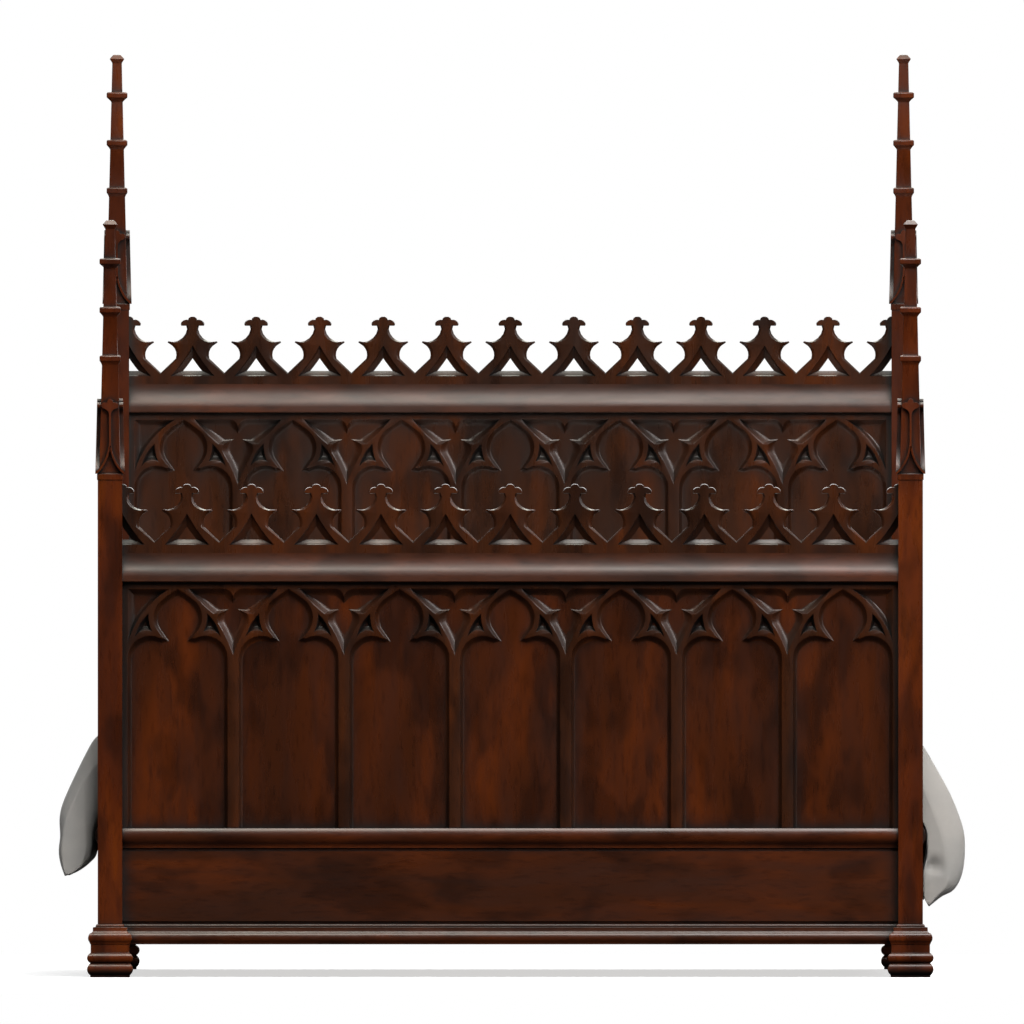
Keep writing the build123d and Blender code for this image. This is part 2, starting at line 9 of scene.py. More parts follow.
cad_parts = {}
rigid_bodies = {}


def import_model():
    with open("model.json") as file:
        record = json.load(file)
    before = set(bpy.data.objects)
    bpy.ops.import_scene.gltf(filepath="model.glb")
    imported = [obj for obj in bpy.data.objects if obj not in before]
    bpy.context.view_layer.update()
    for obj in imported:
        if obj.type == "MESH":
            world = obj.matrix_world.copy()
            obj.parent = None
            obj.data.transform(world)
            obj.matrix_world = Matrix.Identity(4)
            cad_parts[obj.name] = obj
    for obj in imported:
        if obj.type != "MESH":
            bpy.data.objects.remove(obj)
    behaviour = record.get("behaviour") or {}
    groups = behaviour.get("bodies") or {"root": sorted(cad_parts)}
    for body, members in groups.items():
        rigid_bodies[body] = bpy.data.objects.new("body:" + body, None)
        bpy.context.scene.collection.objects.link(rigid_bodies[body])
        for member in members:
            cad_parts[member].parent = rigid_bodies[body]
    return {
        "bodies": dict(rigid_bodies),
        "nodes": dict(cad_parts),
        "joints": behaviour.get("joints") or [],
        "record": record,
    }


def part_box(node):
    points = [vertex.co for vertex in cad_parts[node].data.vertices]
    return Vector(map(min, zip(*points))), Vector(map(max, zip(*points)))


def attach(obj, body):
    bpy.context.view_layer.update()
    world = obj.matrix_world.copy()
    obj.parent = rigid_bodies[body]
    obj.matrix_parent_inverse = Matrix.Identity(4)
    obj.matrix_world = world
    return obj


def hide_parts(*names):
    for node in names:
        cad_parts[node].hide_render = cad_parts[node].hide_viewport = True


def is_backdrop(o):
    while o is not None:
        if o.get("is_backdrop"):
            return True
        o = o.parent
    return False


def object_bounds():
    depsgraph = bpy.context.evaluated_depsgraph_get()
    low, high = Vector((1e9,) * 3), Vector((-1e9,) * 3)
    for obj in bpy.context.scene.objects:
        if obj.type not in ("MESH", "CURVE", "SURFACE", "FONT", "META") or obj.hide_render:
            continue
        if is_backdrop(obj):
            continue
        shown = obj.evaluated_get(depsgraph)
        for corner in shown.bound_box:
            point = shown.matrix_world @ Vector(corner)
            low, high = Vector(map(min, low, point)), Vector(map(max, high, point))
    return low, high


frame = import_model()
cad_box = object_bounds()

# ---- The studio ----------------------------------------------------------------------------------------
# A pale floor in a white surround. A window at the right and fills in front, at the left and behind light the
# bed; the other softboxes only show in the polish, where they draw the lines of light along the mouldings.
# A very long lens at the height of the bed's middle sees the foot end square on.
mm = 0.001


def placed(name, data):
    """An object in the scene."""
    made = bpy.data.objects.new(name, data)
    bpy.context.scene.collection.objects.link(made)
    return made


view_width = 204.8 * mm
sharp_plane_y = -0.080  # where the view is exactly as wide as view_width
lens = bpy.data.cameras.new("camera")
lens.lens, lens.sensor_width = 1700.0, 36.0
camera_distance = lens.lens * view_width / lens.sensor_width
lens.clip_start, lens.clip_end = camera_distance / 2, camera_distance * 1.6
camera = placed("camera", lens)
camera.location = (0.34 * mm, sharp_plane_y - camera_distance, 93.0 * mm)
camera.rotation_euler = (math.radians(90), 0, 0)
bpy.context.scene.camera = camera
bpy.context.scene.view_settings.view_transform = "Standard"

bed_middle = (cad_box[0] + cad_box[1]) / 2
daylight = (0.97, 1.0, 0.88)


def softbox(name, towards, distance, width, height, radiance, colour=(1, 1, 1), polish=True, faces=True):
    """A softbox in a direction from the bed's middle, which shows in polish, lights faces, or does both."""
    lamp = bpy.data.lights.new(name, "AREA")
    lamp.color, lamp.shape = colour, "RECTANGLE"
    lamp.size, lamp.size_y = width, height
    lamp.energy = radiance * math.pi * width * height
    stand = placed(name, lamp)
    direction = Vector(towards).normalized()
    stand.location = bed_middle + direction * distance
    stand.rotation_euler = direction.to_track_quat("Z", "Y").to_euler()
    stand.visible_glossy, stand.visible_diffuse = polish, faces


softbox("right_window", (0.80, -0.08, 0.56), 1.0, 0.80, 0.62, 1.7)
softbox("right_front_window", (0.62, -0.62, 0.46), 1.0, 0.42, 0.38, 9.5, faces=False)
softbox("overhead_softbox", (0.08, -0.14, 1.0), 0.9, 1.2, 0.80, 2.9, daylight, faces=False)
softbox("high_back_softbox", (0.10, 0.60, 0.85), 1.0, 0.70, 0.34, 10.0, daylight, faces=False)
softbox("left_streak_softbox", (-0.16, -0.50, 0.78), 0.42, 0.06, 0.30, 11.0, daylight, faces=False)
softbox("right_streak_softbox", (0.15, -0.50, 0.78), 0.42, 0.12, 0.30, 9.0, faces=False)
softbox("front_fill", (0.40, -1.0, 0.85), 0.75, 0.6, 0.5, 8.2, polish=False)
softbox("left_side_fill", (-0.75, -0.75, 0.35), 1.1, 0.5, 0.7, 1.1, (0.88, 0.94, 1.0), polish=False)
softbox("back_fill", (0.1, 1.0, 0.6), 1.5, 1.5, 1.0, 3.2)


def wire(tree, node, inputs):
    """Links or sets a node's inputs, each found by its name or its number."""
    for socket, value in inputs.items():
        if isinstance(value, bpy.types.NodeSocket):
            tree.links.new(value, node.inputs[socket])
        else:
            node.inputs[socket].default_value = value


def add(tree, kind, inputs=None, **settings):
    """A new node with its settings made and its inputs wired."""
    node = tree.nodes.new(kind)
    for setting, value in settings.items():
        setattr(node, setting, value)
    wire(tree, node, inputs or {})
    return node


def arithmetic(tree, operation, first, second):
    return add(tree, "ShaderNodeMath", {0: first, 1: second}, operation=operation).outputs[0]


def between(tree, value, low, high, to_low=0.0, to_high=1.0):
    """value moved from one range to another, and kept inside it."""
    ranges = {"Value": value, "From Min": low, "From Max": high, "To Min": to_low, "To Max": to_high}
    return add(tree, "ShaderNodeMapRange", ranges).outputs["Result"]


surround = bpy.data.worlds.new("white_surround")
bpy.context.scene.world = surround
surround.use_nodes = True
sky = surround.node_tree
rays = add(sky, "ShaderNodeLightPath").outputs
white = arithmetic(sky, "MAXIMUM", rays["Is Camera Ray"], rays["Is Transmission Ray"])
faint = arithmetic(sky, "MULTIPLY", rays["Is Glossy Ray"], 0.012)  # so that polished dark wood stays dark
direction = add(sky, "ShaderNodeTexCoord").outputs["Generated"]
upwards = add(sky, "ShaderNodeSeparateXYZ", {0: direction}).outputs["Z"]
brightness = between(sky, upwards, -0.25, 0.8, 0.12, 0.34)  # the surround lights the bed more from above
from_above = arithmetic(sky, "MULTIPLY", rays["Is Diffuse Ray"], brightness)
level = arithmetic(sky, "MAXIMUM", arithmetic(sky, "MAXIMUM", white, faint), from_above)
wire(sky, sky.nodes["Background"], {"Color": (1, 1, 1, 1), "Strength": level})


def painted(name):
    """A new material, its nodes, and its surface."""
    paint = bpy.data.materials.new(name)
    paint.use_nodes = True
    return paint, paint.node_tree, paint.node_tree.nodes["Principled BSDF"]


floor_reach, floor_sides = 0.5, 96
turns = [math.tau * n / floor_sides for n in range(floor_sides)]
floor_mesh = bpy.data.meshes.new("floor")
rim = [(floor_reach * math.cos(turn), floor_reach * math.sin(turn), 0) for turn in turns]
floor_mesh.from_pydata(rim, [], [range(floor_sides)])
floor = placed("floor", floor_mesh)
floor_paint, paint, matt_white = painted("pale_floor")
wire(paint, matt_white, {"Base Color": (0.80, 0.80, 0.80, 1), "Roughness": 0.9, "Specular IOR Level": 0.0})
place = add(paint, "ShaderNodeTexCoord").outputs["Object"]
reach = add(paint, "ShaderNodeVectorMath", {0: place}, operation="LENGTH").outputs["Value"]
fade = {"Value": reach, "From Min": 0.17, "From Max": 0.44}  # into the surround, round the floor's edge
faded = add(paint, "ShaderNodeMapRange", fade, interpolation_type="SMOOTHSTEP").outputs["Result"]
lift, full = (add(paint, "ShaderNodeEmission", {"Strength": glow}).outputs[0] for glow in (0.60, 1.0))
lifted = add(paint, "ShaderNodeAddShader", {0: matt_white.outputs[0], 1: lift}).outputs[0]
seen = add(paint, "ShaderNodeMixShader", {0: faded, 1: lifted, 2: full}).outputs[0]
by_camera = add(paint, "ShaderNodeLightPath").outputs["Is Camera Ray"]
shown = add(paint, "ShaderNodeMixShader", {0: by_camera, 1: matt_white.outputs[0], 2: seen}).outputs[0]
wire(paint, paint.nodes["Material Output"], {"Surface": shown})
floor_mesh.materials.append(floor_paint)
floor.visible_glossy = floor.visible_diffuse = False  # undersides and downward bevels stay dark
floor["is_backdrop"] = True

# ---- Plinths -------------------------------------------------------------------------------------------
# Four mahogany blocks under the posts. Each is moulded on all four sides and mitred at the corners: the
# stepped base moulding above a plain neck, then two stacked rolls. The post's tenon is glued into its top.
corners = ("foot_left", "foot_right", "head_left", "head_right")


def shared_group(name, inputs, outputs, kind="ShaderNodeTree"):
    """An empty node group, what its inputs give, and its last node; sockets are given with their kinds."""
    group = bpy.data.node_groups.new(name, kind)
    for way, sockets in (("INPUT", inputs), ("OUTPUT", outputs)):
        for socket, holds in sockets.items():
            group.interface.new_socket(socket, in_out=way, socket_type=f"NodeSocket{holds}")
    return group, group.nodes.new("NodeGroupInput").outputs, group.nodes.new("NodeGroupOutput")


def cloud(tree, vector, scale, detail, roughness, distortion=0.0):
    """A noise value."""
    inputs = {"Scale": scale, "Detail": detail, "Roughness": roughness, "Distortion": distortion}
    return add(tree, "ShaderNodeTexNoise", {"Vector": vector, **inputs}).outputs["Fac"]


def blend(tree, mode, factor, first, second):
    """Two colours mixed by a factor."""
    inputs = {0: factor, 6: first, 7: second}
    return add(tree, "ShaderNodeMix", inputs, data_type="RGBA", blend_type=mode).outputs[2]


def relief(tree, height, strength, distance):
    """A normal raised by a height."""
    inputs = {"Strength": strength, "Distance": distance, "Height": height}
    return add(tree, "ShaderNodeBump", inputs).outputs["Normal"]


def mahogany_figure_group():
    """Figure of polished mahogany: blotches, ribbons and pores along the grain, which is the group's z."""
    inputs = {"Grain": "Vector", "Dark": "Color", "Middle": "Color", "Warm": "Color"}
    outputs = {"Color": "Color", "Pores": "Float", "Gloss": "Float"}
    group, start, end = shared_group("mahogany_figure", inputs, outputs)
    grain = start["Grain"]
    blotches = cloud(group, grain, 70, 3, 0.55, 0.6)
    shorter = add(group, "ShaderNodeMapping", {"Vector": grain, "Scale": (1, 1, 2.2)}).outputs["Vector"]
    knots = cloud(group, shorter, 170, 2, 0.5, 0.2)
    ribbons = cloud(group, grain, 240, 4, 0.6, 0.3)
    pores = between(group, cloud(group, grain, 1500, 3, 0.6), 0.34, 0.46)
    body = blend(group, "MIX", between(group, blotches, 0.34, 0.60), start["Dark"], start["Middle"])
    light_ribbons = between(group, ribbons, 0.36, 0.62)
    lit = arithmetic(group, "MULTIPLY", between(group, blotches, 0.48, 0.68), light_ribbons)
    colour = blend(group, "MIX", lit, body, start["Warm"])
    for mark, low, high, strength, shade in (
        (ribbons, 0.62, 0.36, 0.32, (0.45, 0.38, 0.34, 1)),
        (knots, 0.50, 0.36, 0.70, (0.42, 0.46, 0.62, 1)),
        (pores, 1.0, 0.0, 0.35, (0.3, 0.25, 0.2, 1)),
    ):
        colour = blend(group, "MULTIPLY", between(group, mark, low, high, 0.0, strength), colour, shade)
    wire(group, end, {"Color": colour, "Pores": pores, "Gloss": ribbons})
    return group


recess_reach = 3.2 * mm  # surfaces nearer than this make a recess


def recess_group():
    """How open a point lies; in corners and recesses it paints shade into the wood's colour, and there dust
    makes the polish rougher.
    """
    group, _, end = shared_group("recess_shade_and_dust", {}, {"Open": "Float"})
    hollow = add(group, "ShaderNodeAmbientOcclusion", {"Distance": recess_reach}, samples=6)
    wire(group, end, {"Open": between(group, hollow.outputs["AO"], 0.58, 0.97)})
    return group


mahogany_figure = mahogany_figure_group()
recess_shade_and_dust = recess_group()
grain_stretch = 0.20  # the figure is about five times as long as it is wide
grain_runs = {"x": (0, math.radians(90), 0), "y": (math.radians(90), 0, 0), "z": (0, 0, 0)}


def along_grain(tree, grain, stretch, shift=0.0):
    """Where a point lies in the wood, turned so that the grain runs along z, and drawn out along it."""
    where = add(tree, "ShaderNodeTexCoord").outputs["Object"]
    turn = {"Vector": where, "Rotation": grain_runs[grain], "Location": (shift, shift, 0)}
    turned = add(tree, "ShaderNodeMapping", turn).outputs["Vector"]
    return add(tree, "ShaderNodeMapping", {"Vector": turned, "Scale": (1, 1, stretch)}).outputs["Vector"]


def mahogany(name, grain, roughness, shift, dark, middle, warm):
    """French-polished mahogany with its grain along one axis."""
    wood, tree, polish = painted(name)
    tones = {"Dark": (*dark, 1), "Middle": (*middle, 1), "Warm": (*warm, 1)}
    figured = {"Grain": along_grain(tree, grain, grain_stretch, shift), **tones}
    figure = add(tree, "ShaderNodeGroup", figured, node_tree=mahogany_figure).outputs
    opened = add(tree, "ShaderNodeGroup", node_tree=recess_shade_and_dust).outputs["Open"]
    # painted shade: where the wood is shut in, its colour is darkened towards a cold near-black; the
    # roughness added there is dust
    closed = between(tree, opened, 1.0, 0.0)
    worn = between(tree, figure["Gloss"], 0.3, 0.7, roughness + 0.07, roughness - 0.06)
    wire(tree, polish, {
        "Base Color": blend(tree, "MULTIPLY", closed, figure["Color"], (0.07, 0.09, 0.12, 1)),
        "Roughness": arithmetic(tree, "ADD", worn, between(tree, opened, 1.0, 0.0, 0.0, 0.25)),
        "IOR": 1.5,
        "Normal": relief(tree, figure["Pores"], 0.12, 0.02 * mm),
    })
    return wood


upright_tones = ((0.052, 0.0095, 0.0018), (0.088, 0.0145, 0.0015), (0.140, 0.0265, 0.0018))
upright_mahogany = mahogany("upright_mahogany", "z", 0.28, 0.0, *upright_tones)


def curve_through(start, via, end, steps):
    """Points along the circular arc from start to end by way of via, without the first."""
    ax, ay = start
    bx, by = via
    cx, cy = end
    d = 2 * (ax * (by - cy) + bx * (cy - ay) + cx * (ay - by))
    a, b, c = ax * ax + ay * ay, bx * bx + by * by, cx * cx + cy * cy
    mx = (a * (by - cy) + b * (cy - ay) + c * (ay - by)) / d
    my = (a * (cx - bx) + b * (ax - cx) + c * (bx - ax)) / d
    radius = math.hypot(ax - mx, ay - my)
    first, middle, last = (math.atan2(y - my, x - mx) for x, y in (start, via, end))
    sweep = (last - first) % math.tau
    if (middle - first) % math.tau > sweep:
        sweep -= math.tau
    turns = [first + sweep * n / steps for n in range(1, steps)]
    return [(mx + radius * math.cos(t), my + radius * math.sin(t)) for t in turns] + [end]


def drawn(start, steps, fineness=8):
    """The points of an outline whose steps are an end, or a point on the way and an end."""
    points = [start]
    for step in steps:
        points += curve_through(points[-1], *step, fineness) if len(step) == 2 else [step[0]]
    return points


def make_good(mesh, weld, smooth_angle, close=False):
    """Merges doubles, closes cut ends, turns the faces outwards, and shades smooth between the arrises."""
    work = bmesh.new()
    work.from_mesh(mesh)
    if weld:
        bmesh.ops.remove_doubles(work, verts=work.verts, dist=weld)
    if close:
        bmesh.ops.holes_fill(work, edges=[e for e in work.edges if e.is_boundary], sides=0)
    bmesh.ops.recalc_face_normals(work, faces=work.faces)
    if work.calc_volume(signed=True) < 0:
        bmesh.ops.reverse_faces(work, faces=work.faces)
    work.to_mesh(mesh)
    work.free()
    mesh.polygons.foreach_set("use_smooth", [True] * len(mesh.polygons))
    mesh.set_sharp_from_angle(angle=math.radians(smooth_angle))


def solid(name, vertices, faces, material, arris=0.0, smooth_angle=32, weld=0.002 * mm):
    """A piece made from vertices and faces, with its arrises rounded by that much."""
    mesh = bpy.data.meshes.new(name)
    mesh.from_pydata(vertices, [], faces)
    make_good(mesh, weld, smooth_angle)
    mesh.materials.append(material)
    piece = placed(name, mesh)
    if arris:
        rounding = piece.modifiers.new("rounded_arrises", "BEVEL")
        rounding.width, rounding.segments = arris, 2
        rounding.limit_method, rounding.angle_limit = "ANGLE", math.radians(smooth_angle)
    return piece


def fitted(piece, node, body="bedstead"):
    """Puts a piece in its node's place, on its body."""
    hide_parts(node)
    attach(piece, body)


def ring_faces(rings, count):
    """Faces between rings of count points each."""
    return [
        (first + n, first + (n + 1) % count, first + count + (n + 1) % count, first + count + n)
        for first in range(0, count * (rings - 1), count) for n in range(count)
    ]


def stack_faces(rings, count):
    """Faces of a closed stack of rings with count points each."""
    last = count * (rings - 1)
    return ring_faces(rings, count) + [range(count), range(last, last + count)]


def square_stack(centre, profile):
    """Vertices and faces of a square block whose four sides all have one profile, mitred at the corners."""
    vertices = [
        (centre.x + sx * half * mm, centre.y + sy * half * mm, height * mm)
        for half, height in profile for sx, sy in ((-1, -1), (1, -1), (1, 1), (-1, 1))
    ]
    return vertices, stack_faces(len(profile), 4)


post_half = 2.45
rail_underside = 6.6
base_steps = [  # the base moulding's reach from the wood behind it, and its height over the rail's underside
    ((0.26, 3.95),), ((0.39, 3.70), (0.40, 3.42)), ((0.96, 3.37),), ((0.98, 2.66),),
    ((1.18, 2.36), (1.58, 2.16)), ((1.92, 1.35), (1.82, 0.70)), ((1.60, 0.34), (1.50, 0.0)),
]
base_moulding_height = 4.0
base_profile = drawn((0.0, base_moulding_height), base_steps, 6)
neck, roll, groove = post_half + 1.40, post_half + 2.12, post_half + 1.50
rolls = [
    ((neck, 4.85),), ((roll, 3.875), (groove, 2.90)), ((groove, 2.78),), ((roll, 1.605), (groove, 0.43)),
    ((groove, 0.0),),
]
plinth_profile = [(post_half + reach, rail_underside + height) for reach, height in base_profile]
plinth_profile += drawn((neck, rail_underside), rolls, 12)


def post_centre(corner):
    low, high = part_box(f"{corner}_post")
    middle = (low + high) / 2
    return Vector((middle.x, middle.y, 0))


for corner in corners:
    block = square_stack(post_centre(corner), plinth_profile)
    fitted(solid(f"{corner}_moulded_plinth", *block, upright_mahogany, 0.10 * mm), f"{corner}_plinth")


# ---- Posts ---------------------------------------------------------------------------------------------
# Four plain square shafts of straight-grained mahogany, mortised for the rails and grooved for the panels.
# The shapes are the joiner's own, so they keep their solids and only take the polish.
def polish_solid(node, material):
    """Gives a carried-over solid its wood."""
    mesh = frame["nodes"][node].data
    mesh.materials.clear()
    mesh.materials.append(material)


for corner in corners:
    polish_solid(f"{corner}_post", upright_mahogany)

# ---- Spires --------------------------------------------------------------------------------------------
# On each post a spire cut from one square stick: a collar, a tapering needle with three knops that are
# chamfered away below, and a small cap. A square tenon under the collar is glued into the post's top.
collar_height = 1.25
spire_height = 51.9
cap_height = 1.7
needle_foot_half, needle_top_half = 2.15, 0.96
knop_half = 2.1
knop_tops = (44.3, 34.6, 24.9)


def needle_half(height):
    run = spire_height - cap_height - collar_height
    return needle_foot_half - (needle_foot_half - needle_top_half) * (height - collar_height) / run


def spire_profile(base):
    """Half width and height of a spire's side, from the top down."""
    cap_foot = spire_height - cap_height
    outline = [(0.75, spire_height), (1.48, spire_height - 0.85), (needle_half(cap_foot), cap_foot)]
    for top in knop_tops:
        outline += [(needle_half(top), top), (knop_half - 0.25, top), (knop_half, top - 0.2)]
        band_foot, underside = (knop_half, top - 1.1), (needle_half(top - 2.0), top - 2.0)
        hollow = ((band_foot[0] + underside[0]) / 2 - 0.08, (band_foot[1] + underside[1]) / 2 - 0.02)
        outline += [band_foot] + curve_through(band_foot, hollow, underside, 6)
    outline += [(needle_foot_half, collar_height), (2.6, collar_height), (2.6, 0.0)]
    return [(half, base + height) for half, height in outline]


def post_top(corner):
    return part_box(f"{corner}_post")[1].z / mm


for corner in corners:
    stick = square_stack(post_centre(corner), spire_profile(post_top(corner)))
    fitted(solid(f"{corner}_carved_spire", *stick, upright_mahogany, 0.08 * mm), f"{corner}_spire")

# ---- Gablets -------------------------------------------------------------------------------------------
# Round the foot of each needle stand four thin carved ribs, one on each face: a three-lobed leaf on a stem
# that forks into two bowed legs. The legs of neighbouring ribs meet in a mitre at the collar's corners.
gablet_height = 15.0
rib_thickness = 0.8
stem_half = 0.2
gablet_corner = needle_foot_half + rib_thickness
leaf = [  # the leaf's three lobes and its stem: half width, and how far that lies below the tip
    ((0.42, 0.22), (0.56, 0.80)), ((1.12, 0.74), (1.62, 1.02)), ((1.68, 1.55), (1.16, 2.00)),
    ((0.48, 2.45), (stem_half, 3.4)),
]
fork = [
    ((stem_half, 6.9),), ((0.95, 3.1), (gablet_corner, 0.25)), ((gablet_corner, 0.0),),
    ((gablet_corner - 0.34, 0.0),), ((0.80, 2.4), (0.0, 5.4)),
]
lobes = [[(x, gablet_height - down) for x, down in lobe] for lobe in leaf]
rib_half = drawn((0, gablet_height), lobes + fork, 7)


def mirrored(half):
    """A half outline followed by its mirror image, back to the start; points on the axis aren't repeated."""
    return half + [(-x, y) for x, y in reversed(half) if abs(x) > 1e-6]


def filled(outer, holes=()):
    """The triangles of a flat outline with holes."""
    return tessellate_polygon([[Vector((x, y, 0)) for x, y in loop] for loop in (outer, *holes)])


def board_faces(outline):
    """Faces of a board between two layers of one outline's points."""
    count = len(outline)
    flat = [tuple(layer + i for i in t) for layer in (0, count) for t in filled(outline)]
    return flat + ring_faces(2, count)


def gablet_mesh(centre, base):
    """Vertices and faces of four ribs that lean with the needle's faces."""
    outline = mirrored(rib_half)
    lean = (needle_foot_half - needle_top_half) / (spire_height - cap_height - collar_height)
    vertices, faces = [], []
    for quarter in range(4):
        turn = Matrix.Rotation(math.radians(90 * quarter), 3, "Z")
        faces += [tuple(len(vertices) + i for i in face) for face in board_faces(outline)]
        for proud in (0.0, rib_thickness):
            for x, y in (Vector(point) for point in outline):
                reach = needle_foot_half - lean * y
                across = max(-reach - proud, min(reach + proud, x))
                place = Vector((across, -(reach + proud), base + collar_height + y)) * mm
                vertices.append(centre + turn @ place)
    return vertices, faces


for corner in corners:
    ribs = gablet_mesh(post_centre(corner), post_top(corner))
    fitted(solid(f"{corner}_leaf_gablet", *ribs, upright_mahogany, 0.07 * mm, weld=0.0), f"{corner}_gablet")

# ---- Bottom rails and ground panels --------------------------------------------------------------------
# Each end has a deep plain rail with its grain across the bed, and above it one wide ground panel with its
# grain upright, held in grooves. Both are flat boards, so they keep their solids and take the polish.
boards = ("footboard", "headboard")
rail_tones = ((0.036, 0.0092, 0.0026), (0.055, 0.0118, 0.0024), (0.084, 0.0165, 0.0024))
panel_tones = ((0.038, 0.0088, 0.0022), (0.062, 0.0124, 0.0020), (0.098, 0.0178, 0.0020))
carved_tones = ((0.029, 0.0088, 0.0030), (0.046, 0.0118, 0.0028), (0.076, 0.0165, 0.0026))
rail_mahogany = mahogany("rail_mahogany", "x", 0.32, 0.4, *rail_tones)
panel_mahogany = mahogany("panel_mahogany", "z", 0.27, 0.9, *panel_tones)
carved_mahogany = mahogany("carved_mahogany", "z", 0.29, 3.3, *carved_tones)
for board in boards:
    polish_solid(f"{board}_bottom_rail", rail_mahogany)
    # painted shade: the headboard's panel takes the darker carved wood instead of the footboard panel's tones
    polish_solid(f"{board}_panel", panel_mahogany if board == "footboard" else carved_mahogany)


# ---- Mid rails and side rolls --------------------------------------------------------------------------
# A planed strip with a half-round nose over a small cove, tenoned between the posts above each bottom rail.
# The same nose runs along the top of both side rails, so the bed has one line of it all the way round.
def moulding(name, node, profile, start, length, outward, wood, arris=0.0, inset=None):
    """A straight moulding in its node's place; profile points are (reach outwards, height), in mm.

    It runs along x or y, square to outward. inset, if given, shortens both ends by that much for each
    profile point, for an end scribed to another moulding.
    """
    along = Vector((abs(outward.y), abs(outward.x), 0)) * length
    direction = along.normalized()
    vertices = []
    for end_point, sense in ((start, 1), (start + along, -1)):
        for number, (reach, height) in enumerate(profile):
            trim = inset[number] * sense * mm if inset else 0.0
            point = end_point + outward * reach * mm + Vector((0, 0, height * mm)) + direction * trim
            vertices.append(point)
    fitted(solid(name, vertices, board_faces(profile), wood, arris), node)


mid_rail_height = 4.0
towards_foot = Vector((0, -1, 0))


def astragal_profile(face, nose, back):
    """A half-round nose over a cove, on a strip that runs back to the given depth."""
    edge = face + 0.55 * nose
    steps = [
        ((face + 0.25 * nose, 0.0),), ((face + 0.33 * nose, 0.6), (edge, 1.0)),
        ((face + nose, 2.5), (edge, mid_rail_height)), ((-back, mid_rail_height),),
    ]
    return drawn((-back, 0.0), steps, 12)


moulding_tones = ((0.042, 0.0100, 0.0026), (0.064, 0.0130, 0.0026), (0.100, 0.0185, 0.0026))
moulding_mahogany = mahogany("moulding_mahogany", "x", 0.31, 1.7, *moulding_tones)
side_mahogany = mahogany("side_rail_mahogany", "y", 0.32, 2.6, *rail_tones)
for board in boards:
    low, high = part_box(f"{board}_tracery")
    start = Vector((low.x, high.y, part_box(f"{board}_mid_rail")[0].z))
    moulding(
        f"{board}_nosed_mid_rail", f"{board}_mid_rail", astragal_profile(0.5, 1.4, 2.0),
        start, high.x - low.x, towards_foot, moulding_mahogany, 0.08 * mm,
    )

for side, sign in (("left", -1), ("right", 1)):
    low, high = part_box(f"{side}_side_roll")
    inner, outer = sorted(abs(corner.x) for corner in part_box(f"{side}_side_rail"))
    nose = (max(abs(low.x), abs(high.x)) - outer) / mm
    moulding(
        f"{side}_nosed_side_roll", f"{side}_side_roll", astragal_profile(0.0, nose, (outer - inner) / mm),
        Vector((sign * outer, low.y, low.z)), high.y - low.y, Vector((sign, 0, 0)), side_mahogany, 0.08 * mm,
    )
    polish_solid(f"{side}_side_rail", side_mahogany)

# ---- Base mouldings ------------------------------------------------------------------------------------
# Lengths of the same stepped moulding as the plinths', planted on the outer faces of the bottom rails and
# side rails. Their ends are scribed to the plinths' mouldings, which stand further out.
base_loop = base_profile + [(0.0, 0.0)]
scribe = [reach + 0.03 for reach, height in base_loop]
post_inner_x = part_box("foot_right_post")[0].x
post_inner_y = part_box("head_left_post")[0].y
for board, outward in (("footboard", towards_foot), ("headboard", -towards_foot)):
    low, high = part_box(f"{board}_base_moulding")
    start = Vector((-post_inner_x, high.y if outward.y < 0 else low.y, low.z))
    moulding(
        f"{board}_planted_base_moulding", f"{board}_base_moulding", base_loop,
        start, 2 * post_inner_x, outward, moulding_mahogany, 0.06 * mm, scribe,
    )

for side, sign in (("left", -1), ("right", 1)):
    low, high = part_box(f"{side}_side_base_moulding")
    start = Vector((min(abs(low.x), abs(high.x)) * sign, -post_inner_y, low.z))
    moulding(
        f"{side}_planted_side_moulding", f"{side}_side_base_moulding", base_loop,
        start, 2 * post_inner_y, Vector((sign, 0, 0)), side_mahogany, 0.06 * mm, scribe,
    )


# ---- Tracery -------------------------------------------------------------------------------------------
# A thin board pierced by fretsaw and laid on each ground panel: seven cusped lights with eyelets in their
# cusps and a spandrel over every mullion. Each edge is carved down to the panel with a hollow bevel.
bays = 7
bevel_course = (  # share of the way from the face's outline to the ground's, and share of the board's depth
    (-0.07, 0.0), (-0.03, 0.012), (0.04, 0.08), (0.12, 0.19), (0.50, 0.66), (0.62, 0.79), (0.74, 0.885),
    (0.86, 0.955), (1.0, 1.0),
)
# Each opening's outline on the face, then on the ground, down from the board's top edge. The x of a light
# or an eyelet is measured from the light's middle, a spandrel's from the mullion's, a corner's from the post.
light_cut = (
    ((0, 1.40), [
        ((1.75, 2.52), (3.45, 3.82)), ((4.82, 6.60), (3.90, 9.85)), ((2.84, 11.20),), ((3.34, 11.30),),
        ((8.14, 11.60), (9.97, 15.40)),
    ]),
    ((0, 2.75), [
        ((1.38, 3.50), (2.60, 4.50)), ((4.00, 7.25), (3.05, 10.00)), ((1.78, 11.86),), ((3.34, 12.20),),
        ((7.14, 12.30), (9.22, 15.80)),
    ]),
)
spandrel_cut = (
    ((0, 3.05), [
        ((0.55, 1.92), (1.60, 1.32)), ((8.90, 1.30),), ((6.05, 4.45), (3.90, 6.35)), ((2.76, 6.30),),
        ((3.12, 7.50), (2.60, 8.80)), ((1.25, 11.40), (0, 14.50)),
    ]),
    ((0, 4.35), [
        ((0.95, 3.25), (2.05, 2.70)), ((7.30, 2.60),), ((4.62, 4.10), (2.60, 5.50)), ((0.90, 5.40),),
        ((1.62, 6.90), (1.30, 8.40)), ((0.70, 9.60), (0, 10.40)),
    ]),
)
corner_cut = (
    ((1.15, 1.40), [((9.30, 1.40),), ((4.60, 5.50), (1.15, 11.80))]),
    ((2.54, 2.80), [((6.90, 2.80),), ((4.30, 4.65), (2.54, 6.80))]),
)
